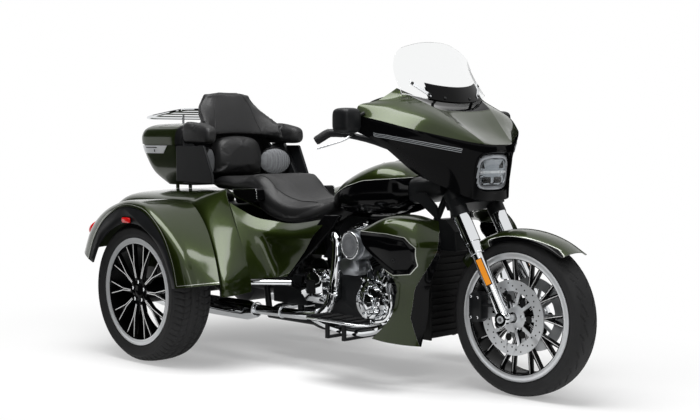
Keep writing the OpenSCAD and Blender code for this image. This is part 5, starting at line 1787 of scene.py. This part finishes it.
@dataclass
class Seating(Assembly):
    """Rider and passenger seat, passenger back pad and backrest."""

    # Place, half width, underside, top and depth of the hollow.
    seat: tuple = ((-985, 140, 782, 830, 0), (-860, 172, 776, 836, 3), (-740, 188, 772, 828, 5),
                   (-640, 202, 765, 850, 2), (-598, 207, 750, 853, 12), (-540, 212, 674, 850, 42),
                   (-450, 210, 638, 778, 26), (-350, 196, 630, 742, 10), (-250, 162, 646, 744, 2),
                   (-158, 96, 702, 766, 0))
    # Rows from the top down, each from the middle to the edge.
    back: tuple = (((-1012, 0, 1262), (-1008, -75, 1260), (-1002, -128, 1248)),
                   ((-985, 0, 1190), (-988, -105, 1190), (-998, -196, 1180)),
                   ((-962, 0, 1105), (-955, -140, 1104), (-890, -238, 1098)),
                   ((-948, 0, 1040), (-925, -160, 1034), (-792, -290, 1014)))
    # Place, half width, underside, top and side of the backrest's arms.
    arms: tuple = ((-988, 42, 1000, 1106, -264), (-950, 44, 998, 1106, -266), (-880, 42, 998, 1098, -272),
                   (-815, 36, 998, 1084, -278), (-792, 28, 1004, 1074, -282), (-782, 16, 1016, 1058, -284))
    voxel_mm: float = 6.0
    frames: int = 20
    pressure: float = 4.0
    stitch_mm: float = 4.5
    stitch_step: float = 7.0

    def inflate(self, obj: Piece, cap_mm: float, axis: int, limit: float) -> Piece:
        """Turns a closed shape into a stuffed one by cloth simulation.

        Args:
            obj: The closed shape.
            cap_mm: The most that a point may move.
            axis: Axis along which the cover is held.
            limit: Place in millimetres below which it is fixed to its base.

        Returns:
            The stuffed piece.
        """
        remesh = obj.modifiers.new("voxels", "REMESH")
        remesh.mode = "VOXEL"
        remesh.voxel_size = self.voxel_mm * 0.001
        even = obj.modifiers.new("even", "SMOOTH")
        even.factor, even.iterations = 0.5, 4
        graph = bpy.context.evaluated_depsgraph_get()
        cover = bpy.data.meshes.new_from_object(obj.evaluated_get(graph), depsgraph=graph)
        obj.modifiers.clear()
        obj.data = cover
        start = np.array([v.co for v in cover.vertices])
        group = obj.vertex_groups.new(name="held")
        fixed = np.nonzero((start * 1000 + [MID_X, 0, 0])[:, axis] < limit)[0]
        group.add([int(k) for k in fixed], 1.0, "REPLACE")
        cloth = obj.modifiers.new("cover", "CLOTH")
        cloth.settings.use_pressure = True
        cloth.settings.uniform_pressure_force = self.pressure
        cloth.settings.vertex_group_mass = "held"
        cloth.settings.effector_weights.gravity = 0.0
        cloth.collision_settings.use_collision = False
        for number in range(1, self.frames + 1):
            bpy.context.scene.frame_set(number)
        graph = bpy.context.evaluated_depsgraph_get()
        moved = np.array([v.co for v in obj.evaluated_get(graph).data.vertices]) - start
        far = np.linalg.norm(moved, axis=1, keepdims=True)
        moved *= np.minimum(1, cap_mm * 0.001 / np.maximum(far, 1e-9))
        obj.modifiers.remove(cloth)
        obj.vertex_groups.clear()
        bpy.context.scene.frame_set(1)
        cover.vertices.foreach_set("co", (start + moved).ravel())
        cover.update()
        cover.polygons.foreach_set("use_smooth", [True] * len(cover.polygons))
        cover.materials.clear()
        cover.materials.append(Paint.VINYL.make())
        fine = obj.modifiers.new("fine", "SUBSURF")
        fine.levels = fine.render_levels = 1
        return obj

    def stitch(self, name: str, obj: Piece, paths: Sequence, down: tuple[float, float, float], body: Body) -> None:
        """Sews a seam with a raised welt and stitches along paths laid on a pad.

        Args:
            name: Name of the seam.
            obj: The pad.
            paths: Paths beside the pad.
            down: Direction in which the paths fall onto it.
            body: Body that carries the pad.
        """
        spots, ways, welts = [], [], []
        for path in paths:
            laid = drape(obj, path, down, 0.4)
            welts.append(laid)
            steps = np.concatenate([[0], np.cumsum(np.linalg.norm(np.diff(laid, axis=0), axis=1))])
            # Real thread is 0.8 mm thick, drawn at 1.6 mm so that it shows.
            for s in np.arange(4, steps[-1] - 8, self.stitch_step):
                a, b = (np.array([np.interp(s + e, steps, laid[:, k]) for k in range(3)]) for e in (0, self.stitch_mm))
                spots.append(a)
                ways.append((b - a) / np.linalg.norm(b - a))
        self.keep(tubes(name + "_welt", welts, 1.7, Paint.VINYL, 8), "vinyl", body=body)
        thread = heads(name + "_stitches", np.array(spots) + [0, 0, 1.6], ways, 0.8, self.stitch_mm, Paint.PAD, 5)
        self.keep(thread, "vinyl", body=body)

    def pad_ring(self, x: float, half: float, low: float, high: float) -> list:
        """Ring round the passenger pad, its upper corners cut off.

        Args:
            x: Place along the trike.
            half: Half width.
            low: Lowest height.
            high: Greatest height.

        Returns:
            The ring's points.
        """
        corners = [(-half, low + 18), (-half + 18, low), (half - 18, low), (half, low + 18), (half, high - 58),
                   (half - 52, high), (-half + 52, high), (-half, high - 58), (-half, low + 18)]
        return [(x, y, z) for y, z in trace(corners, 64)[:-1]]

    def build(self) -> None:
        """Builds the pads, their seams and the seat's side trim."""
        rings = []
        for x, half, low, high, dip in trace(self.seat, 120):
            ring = ring_across(x, half - 4, low + 2, high - 4, 0.55, 120)
            top = ring[:, 2] > (low + high) / 2
            hollow = dip * np.clip(1 - (ring[:, 1] / (0.72 * half)) ** 2, 0, 1) ** 1.3
            ring[top, 2] -= hollow[top]
            rings.append(ring)
        seat = self.inflate(loft("seat_cover", rings, Paint.VINYL), 9.0, 2, 660.0)
        self.keep(seat, "vinyl", "seat")
        across = [[(-668 - 30 * (y / 190) ** 2, y, 1000) for y in np.linspace(-176, 176, 60)]]
        rim = [[(-600 + 150 * t + 40 * t * t, s * (168 - 30 * t), 1000) for t in np.linspace(0, 1.7, 60)]
               for s in (-1, 1)]
        self.stitch("seat_seam", seat, across + rim, (0, 0, -1), Body.CHASSIS)
        rows = [self.pad_ring(*row) for row in ((-989, 136, 850, 1024), (-976, 141, 847, 1025), (-935, 139, 846, 1025),
                                                (-910, 130, 852, 1018), (-899, 108, 870, 1000))]
        pad = self.inflate(loft("passenger_pad", rows, Paint.VINYL), 7.0, 0, -980.0)
        self.keep(pad, "vinyl", "lower_back_pad")
        parts = [panel("rest", Net.of(self.back, mirrored=True), PanelCut((40, 60), 34.0), Paint.VINYL)]
        for side in (1, -1):
            rings = [ring_across(x, h, lo, hi, 0.7, 40, side * y) for x, h, lo, hi, y in trace(self.arms, 30)]
            parts.append(loft("arm", rings, Paint.VINYL))
        rest = self.inflate(merge("backrest_cover", parts), 8.0, 2, 1012.0)
        self.keep(rest, "vinyl", "backrest", body=Body.LID)
        lines = [[(-700, s * y, z) for y, z in trace(((66, 1256), (112, 1190), (128, 1120), (150, 1050)), 50)]
                 for s in (-1, 1)]
        self.stitch("backrest_seam", rest, lines, (-1, 0, 0), Body.LID)
        self.build_trim()

    def build_trim(self) -> None:
        """Builds the black boxes with bright edges beside the passenger seat."""
        boxes, edges = [], []
        outline = [(-683, 788), (-512, 794), (-502, 786), (-497, 742), (-503, 733), (-640, 719), (-652, 724)]
        bright = trace([(-676, 785), (-600, 788), (-516, 791), (-505, 784), (-500, 744)], 40)
        for side in (-1, 1):
            box = prism("box", outline, (side * 200, side * 250), Paint.BLACK, 6.0)
            boxes.append(box)
            edges.append([(x, side * 250.5, z) for x, z in bright])
        self.keep(merge("seat_side_boxes", boxes), "gloss_black")
        self.keep(tubes("seat_side_edges", edges, 1.7, Paint.CHROME), "chrome")


@dataclass
class Luggage(Assembly):
    """Top case with its lid, latch, rack and rear speakers."""

    # Height, back, front, half width.
    case: tuple = ((793, -1236, -1000, 224), (853, -1308, -994, 264), (925, -1345, -991, 289), (988, -1363, -990, 302))
    lid: tuple = ((994, -1367, -996, 304), (1035, -1373, -996, 302), (1072, -1359, -998, 284),
                  (1092, -1320, -1006, 236), (1099, -1250, -1030, 150))
    wall: float = 5.0
    power: float = 0.26
    black_from: float = -1055.0
    hinge: tuple = (-1175, 322, 986)
    # Width of a speaker against its height.
    oval: float = 1.22

    def parting(self, points: Array) -> Array:
        """Distance behind the case's black front part."""
        return self.black_from - points[..., 0]

    def side_y(self, x: Array, z: Array) -> Array:
        """Half width of the case.

        Args:
            x: Places along the trike.
            z: Heights.

        Returns:
            Half widths in millimetres.
        """
        z_of, back, front, half = np.asarray(trace(self.case, 60)).T
        b, f, h = (np.interp(z, z_of, c) for c in (back, front, half))
        c = np.clip(np.abs(x - (b + f) / 2) / ((f - b) / 2), 0, 1)
        return h * (1 - c ** (2 / self.power)) ** (self.power / 2)

    def build(self) -> None:
        """Builds the case, the lid and their fittings."""
        up = trace(self.case, 40)
        outer = [ring_level(z, b, f, h, self.power, 180) for z, b, f, h in up]
        inner = [ring_level(z + 5, b + self.wall, f - self.wall, h - self.wall, self.power, 180)
                 for z, b, f, h in up[::-1]]
        inner[0][:, 2] = up[-1][0]
        base = [loft("case", outer + inner, Paint.CASE, line=self.parting)]
        net = RearBody().deck_net()
        for row in (3, 4):
            foot = net.spot(row * 6 / 14, 11 * 10 / 26, 0.6)
            for side in (-1, 1):
                base.append(tubes("post", [[(foot[0], side * foot[1], 797), (foot[0], side * foot[1], foot[2])]], 9.0,
                                  Paint.CASE, 16))
        x, y, z = self.hinge
        for low, high, r in ((-120, -96, 11.0), (90, 114, 11.0), (-100, 100, 6.0)):
            base.append(tubes("knuckle", [[(x + low, y, z), (x + high, y, z)]], r, Paint.SATIN, 24))
        self.keep(merge("top_case_shell", base), "green_paint", "top_case_base")
        down = trace(self.lid[::-1], 60)
        crown = [(1101.5, -1200, -1080, 90), (1101, -1225, -1055, 120)]
        cover = [ring_level(*row, self.power, 180) for row in crown + list(down)]
        lining = [ring_level(h_z - 5, b + self.wall, f - self.wall, h - self.wall, self.power, 180)
                  for h_z, b, f, h in down[2:][::-1]]
        lining[0][:, 2] = down[-1][0]
        lid = [loft("lid", cover + lining, Paint.CASE, line=self.parting)]
        for low, high in ((-70, -40), (40, 70)):
            lid.append(tubes("knuckle", [[(x + low, y, z), (x + high, y, z)]], 11.0, Paint.SATIN, 24))
            leaf = [(x + low, z + 9), (x + high, z + 9), (x + high, z + 18), (x + low, z + 18)]
            lid.append(soften(prism("leaf", leaf, (y - 26, y), Paint.SATIN), 1.0))
        self.keep(merge("top_case_cover", lid), "green_paint", "top_case_lid", body=Body.LID)
        self.build_latch()
        self.dress(Paint.CHROME, "luggage_rack")
        self.build_speakers()

    def build_latch(self) -> None:
        """Builds the bright latch plate on the case's right side, with its slot and lock drawn as near-black lines of
        painted shade.
        """
        def on_side(x: Array, z: Array, lift: float) -> Array:
            """Points on the case's right side."""
            return np.stack([x, -(self.side_y(x, z) + lift), z], -1)

        t = np.linspace(0, 1, 30)
        rows = []
        for k in np.linspace(0, 1, 8):
            z = np.full(30, 987 - 38 * k)
            rows.append(on_side((-1330 + 12 * k) + t * (215 - 50 * k), z, 4.0))
        plate = panel("latch_plate", Net.of(rows), PanelCut((10, 60), 3.0), Paint.TURNED)
        self.keep(soften(plate, 1.2), "chrome")
        # The slot and lock are near-black tubes on the plate: painted shade.
        slot = on_side(np.linspace(-1290, -1200, 20), np.full(20, 978.0), 4.4)
        lock = on_side(np.array([-1222.0, -1222.0]), np.array([968.0, 956.0]), 4.4)
        self.keep(tubes("latch_slot_shade", [slot, lock], 2.4, Paint.RECESS_SHADE, 8), "satin_black")

    def build_speakers(self) -> None:
        """Dresses the speaker pods and gives them grilles and rims."""
        self.dress(Paint.SATIN, "speaker_pods", round_mm=2.5)
        faces, rims = [], []
        for side in (-1, 1):
            turn = math.radians(36)
            way = np.array([math.cos(turn), -side * math.sin(turn), 0.0])
            mid = np.array([-944, side * 244, 908]) + 58 * way
            p = np.array([-way[1], way[0], 0.0])
            q = np.array([0, 0, 1.0])
            angle = turns(64)
            spread = self.oval * np.cos(angle)[:, None] * p + np.sin(angle)[:, None] * q
            dome = ((64, -2), (64, 2), (56, 5), (40, 8), (20, 9.5), (2, 10))
            faces.append(loft("grille", [mid + lift * way + r * spread for r, lift in dome], Paint.GRILLE))
            rims.append(mid + 1.5 * way + 67 * spread)
        shells = [prism("shell", [(-1030, 987), (-815, 988), (-752, 850), (-745, 806), (-1030, 812)],
                        (side * 298, side * 314), Paint.SATIN, 6.0)
                  for side in (-1, 1)]
        self.keep(merge("speaker_shells", shells), "satin_black")
        self.keep(merge("speaker_grilles", faces), "satin_black")
        self.keep(tubes("speaker_rims", rims, 4.0, Paint.BLACK, 12, closed=True), "gloss_black")


@dataclass
class Engine(Assembly):
    """Dressed engine, exhaust, frame and foot controls with their fittings."""

    crank: tuple = (135, 0, 320)
    v_half: float = 22.5

    def tilted(self, side: int, x: float, y: float, w: float) -> tuple[float, float, float]:
        """Point in a cylinder's own frame, w along its axis."""
        a = math.radians(side * self.v_half)
        return (self.crank[0] + x * math.cos(a) + w * math.sin(a), y, self.crank[2] - x * math.sin(a) + w * math.cos(a))

    def build(self) -> None:
        """Dresses the CAD pieces and adds fasteners and trim."""
        self.dress(Paint.SATIN, "frame", "footboards")
        # The radiator is near-black: its own black with painted shade between its fins.
        self.dress(Paint.RECESS_SHADE, "radiator")
        self.dress(Paint.ENGINE, "engine_cases", "cylinders", round_mm=1.2)
        self.dress(Paint.CHROME, "rocker_covers", "cam_cover", "gearbox_cover", "primary_cover", round_mm=3.0)
        self.dress(Paint.CHROME, "exhaust_pipes", "mufflers", "passenger_pegs", "foot_controls")
        self.dress(Paint.CAST, "air_cleaner", round_mm=4.0)
        spots = []
        for t in np.arange(8) * np.pi / 4 + 0.2:
            spots.append((135 + 86 * math.cos(t), -137, 320 + 86 * math.sin(t)))
        for t in np.arange(5) * 2 * np.pi / 5 + 0.5:
            spots.append((135 + 55 * math.cos(t), -169, 320 + 55 * math.sin(t)))
        spots += [(-180 + dx, -155, 362 + dz) for dx in (-72, 72) for dz in (-40, 40)]
        spots += [(-180 + dx, -155, 362 + dz) for dx in (-36, 36) for dz in (-71, 71)]
        faces = [(0, -1, 0)] * len(spots)
        left = [(x, 175, z) for x, z in ((-240, 330), (-180, 400), (-60, 408), (60, 408), (160, 390), (-180, 236),
                                         (0, 228), (150, 240))]
        spots, faces = spots + left, faces + [(0, 1, 0)] * len(left)
        for side in (-1, 1):
            a = math.radians(side * self.v_half)
            for dx in (-60, 60):
                for y in (-106, -60, 30, 66):
                    spots.append(self.tilted(side, dx, y, 338))
                    faces.append((math.sin(a), 0, math.cos(a)))
        self.keep(heads("engine_bolts", spots, faces, 6.0, 5.0, Paint.CHROME), "chrome")
        cuffs = [[self.tilted(side, k, -110, w) for w in (low, high)] for side in (-1, 1) for k in (-17, 17)
                 for low, high in ((134, 152), (210, 226), (300, 316))]
        self.keep(tubes("pushrod_cuffs", cuffs, 12.5, Paint.CHROME, 20), "chrome")
        self.build_covers()
        self.build_cleaner()
        self.build_vents()
        self.build_footboards()

    def build_covers(self) -> None:
        """Builds the black covers beside the frame and the boxes that fill the space behind the engine."""
        edge = [(-70, 690), (28, 694), (-12, 640), (-150, 522), (-262, 440), (-296, 398), (-330, 398), (-240, 520)]
        covers = [prism("cover", edge, (side * 236, side * 212), Paint.BLACK, 5.0) for side in (-1, 1)]
        self.keep(merge("frame_side_covers", covers), "gloss_black")
        boxes = [prism("box", outline, (-half, half), Paint.SATIN, 4.0) for half, outline in (
            (150, [(-500, 262), (-500, 398), (-270, 398), (-270, 262)]),
                (70, [(-250, 480), (-90, 680), (60, 680), (60, 480)]),
            (62, [(440, 560), (540, 560), (530, 640), (480, 690), (420, 690)]))]
        self.keep(merge("frame_boxes", boxes), "satin_black")

    def build_cleaner(self) -> None:
        """Gives the air cleaner its dark face and bright oval ring."""
        angle = turns(72)
        *rings, rim = [np.stack([155 + a * np.cos(angle), np.full(72, y), 576 + b * np.sin(angle)], 1) for a, b, y in (
            (46, 52, -296), (46, 52, -300), (40, 46, -304), (20, 24, -306), (2, 2, -306.5), (49, 55, -299))]
        self.keep(loft("cleaner_face", rings, Paint.GRILLE), "satin_black")
        self.keep(tubes("cleaner_ring", [rim], 4.2, Paint.CHROME, 14, closed=True), "chrome")

    def build_vents(self) -> None:
        """Sets the louvred vent into the gearbox cover, its openings a near-black plate of painted shade, and the clamp
        bands on the exhaust.
        """
        # The near-black plate under the louvre bars is painted shade in the vent's openings.
        outline = trace([(-214, 336), (-206, 330), (-160, 334), (-154, 342), (-158, 384), (-166, 392), (-208, 394),
                         (-214, 386), (-214, 336)], 48)[:-1]
        self.keep(prism("gearbox_vent_shade", outline, (-203, -206.5), Paint.RECESS_SHADE, 1.0), "satin_black")
        bars = [[(x, -207, 338), (x + 3, -207, 386)] for x in (-204, -195, -186, -177, -168)]
        self.keep(tubes("vent_bars", bars, 1.8, Paint.ENGINE, 8), "satin_black")
        bands = []
        for x, y, z, r in ((-480, -270, 236, 33), (-300, -271, 243, 24), (-60, -272, 258, 25)):
            t = turns(40)
            bands.append(np.stack([np.full(40, x), y + r * np.cos(t), z + r * np.sin(t)], 1))
        self.keep(tubes("exhaust_bands", bands, 3.0, Paint.TURNED, 8, closed=True), "steel")

    def build_footboards(self) -> None:
        """Adds bright edges and ribbed rubbers to the footboards."""
        edges, ribs = [], []
        for side in (-1, 1):
            edges.append([(x, side * y, 272) for x, y in (
                (368, 339), (368, 410), (339, 440), (41, 440), (12, 410), (12, 339))])
            for k in range(-2, 3):
                for dy in range(-44, 45, 11):
                    x = 190 + k * 62
                    ribs.append([(x - 17, side * (374 + dy), 284.5), (x + 17, side * (374 + dy), 284.5)])
        self.keep(tubes("footboard_edges", edges, 5.0, Paint.CHROME), "chrome")
        self.keep(tubes("footboard_ribs", ribs, 2.4, Paint.PAD, 6), "satin_black")


@dataclass
class Studio:
    """Floor, lamps, world and camera."""

    place_m: tuple = (3.825, -3.837, 1.036)
    yaw: float = 45.06
    pitch: float = 3.55
    lens: float = 61.56

    def build(self) -> None:
        """Sets up the studio and the view."""
        scene = bpy.context.scene
        scene.view_settings.view_transform = "Standard"
        self.camera()
        self.world()
        self.floor()
        self.lamps()

    def camera(self) -> None:
        """Places the camera at the photograph's viewing angle."""
        data = bpy.data.cameras.new("camera")
        data.sensor_width, data.lens = 36.0, self.lens
        obj = linked("camera", data)
        obj.location = self.place_m
        obj.rotation_euler = (math.radians(90 - self.pitch), 0, math.radians(self.yaw))
        bpy.context.scene.camera = obj

    def seen(self, tree: Tree) -> Socket:
        """Finds the rays that see the background: from the camera, metal or glass.

        Args:
            tree: Node tree.

        Returns:
            1 for such a ray.
        """
        path = add(tree, "ShaderNodeLightPath").outputs
        some = add(tree, "ShaderNodeMath", {0: path["Is Camera Ray"], 1: path["Is Glossy Ray"]}, operation="MAXIMUM")
        return add(tree, "ShaderNodeMath", {0: some.outputs[0], 1: path["Is Transmission Ray"]},
                   operation="MAXIMUM").outputs[0]

    def world(self) -> None:
        """Gives a white background and a softer light on the object."""
        world = bpy.data.worlds.new("studio_white")
        bpy.context.scene.world = world
        world.use_nodes = True
        tree = world.node_tree
        tree.nodes.clear()
        power = add(tree, "ShaderNodeMapRange", {"Value": self.seen(tree), "To Min": 0.36, "To Max": 1.0})
        back = add(tree, "ShaderNodeBackground", {"Color": (1, 1, 1, 1), "Strength": power.outputs["Result"]})
        add(tree, "ShaderNodeOutputWorld", {"Surface": back.outputs[0]})

    def floor(self) -> None:
        """Lays a pale floor that fades to the white background."""
        mesh = bpy.data.meshes.new("floor")
        mesh.from_pydata([(-30, -30, 0), (30, -30, 0), (30, 30, 0), (-30, 30, 0)], [], [(0, 1, 2, 3)])
        obj = linked("floor", mesh)
        paint = bare("matt_white_floor")
        tree = paint.node_tree
        place = add(tree, "ShaderNodeTexCoord").outputs["Object"]
        spot = add(tree, "ShaderNodeVectorMath", {0: place, 1: (0.62, 1.0, 1.0)}, operation="MULTIPLY").outputs[0]
        far = add(tree, "ShaderNodeVectorMath", {0: spot}, operation="LENGTH").outputs["Value"]
        fade = add(tree, "ShaderNodeMapRange", {"Value": far, "From Min": 0.5, "From Max": 1.75, "To Min": 0.3},
                   interpolation_type="SMOOTHSTEP")
        matt = add(tree, "ShaderNodeBsdfDiffuse", {"Color": (0.93, 0.93, 0.93, 1)})
        white = add(tree, "ShaderNodeEmission", {"Color": (1, 1, 1, 1), "Strength": 1.0})
        blend = add(tree, "ShaderNodeMath", {0: fade.outputs[0], 1: self.seen(tree)}, operation="MULTIPLY").outputs[0]
        mixed = add(tree, "ShaderNodeMixShader", {0: blend, 1: matt.outputs[0], 2: white.outputs[0]})
        add(tree, "ShaderNodeOutputMaterial", {"Surface": mixed.outputs[0]})
        mesh.materials.append(paint)

    def card(self, name: str, at: tuple, size: tuple, look: tuple, colour: str) -> None:
        """Stands a dark card that only reflections see.

        Args:
            name: Name of the card.
            at: Middle of the card in metres.
            size: Width and height in metres.
            look: Point that it faces.
            colour: Its colour.
        """
        w, h = size[0] / 2, size[1] / 2
        mesh = bpy.data.meshes.new(name)
        mesh.from_pydata([(-w, -h, 0), (w, -h, 0), (w, h, 0), (-w, h, 0)], [], [(0, 1, 2, 3)])
        obj = linked(name, mesh)
        turn = (Vector(look) - Vector(at)).to_track_quat("Z", "Y")
        mesh.transform(Matrix.Translation(at) @ turn.to_matrix().to_4x4())
        paint = bare(name)
        tree = paint.node_tree
        flat = add(tree, "ShaderNodeEmission", {"Color": linear(colour), "Strength": 1.0})
        add(tree, "ShaderNodeOutputMaterial", {"Surface": flat.outputs[0]})
        mesh.materials.append(paint)
        obj.visible_camera = obj.visible_diffuse = obj.visible_shadow = obj.visible_transmission = False

    def lamps(self) -> None:
        """Hangs a large softbox above and a weaker one beside the camera, and stands dark cards round the object."""
        for name, at, size, power in (("softbox_top", (0.3, -0.8, 3.6), (3.2, 1.8), 150),
                                      ("softbox_front", (3.7, -3.0, 1.9), (1.2, 2.4), 24)):
            data = bpy.data.lights.new(name, "AREA")
            data.shape, data.size, data.size_y, data.energy = "RECTANGLE", size[0], size[1], power
            obj = linked(name, data)
            obj.location = at
            obj.rotation_euler = (Vector((0, 0, 0.6)) - Vector(at)).to_track_quat("-Z", "Y").to_euler()
        aim = (0, 0, 0.7)
        for name, at, size, look in (
                ("right", (-2.2, -6.0, 2.9), (9.0, 6.6), aim), ("near", (4.8, -5.0, 1.0), (6.0, 3.2), aim),
                ("front", (6.4, 1.6, 1.2), (8.0, 3.4), aim), ("left", (0, 6.5, 1.2), (9.0, 3.4), aim),
                ("high", (-4.2, -3.4, 4.6), (7.0, 6.0), aim),
                                     ("low", (-1.6, -3.4, 0.02), (7.0, 4.4), (-1.6, -3.4, 2.0))):
            self.card(f"dark_card_{name}", at, size, look, "#0b0c0b")


def main() -> None:
    """Builds the assemblies in order."""
    logging.basicConfig(level=logging.INFO, format="%(name)s: %(message)s")
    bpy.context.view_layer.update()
    Studio().build()
    rear = dict(radius=325.0, width=215.0, rim_r=244.0, hub_r=56.0, spoke_face=80.0, street=True)
    groups = [RearBody(), FrontSkins(), FrontEnd(), Lamps(), Seating(), Luggage(), Engine(),
              Wheel("front", Body.FRONT_WHEEL, (835.5, 0.0, 319.0), 319.0, 130.0, 255.0, 42.0, 10.0, False),
              Wheel("rear_right", Body.REAR_RIGHT, (-835.5, -595.0, 325.0), **rear),
              Wheel("rear_left", Body.REAR_LEFT, (-835.5, 595.0, 325.0), **rear)]
    for group in groups:
        group.build()


if __name__ == "__main__":
    main()
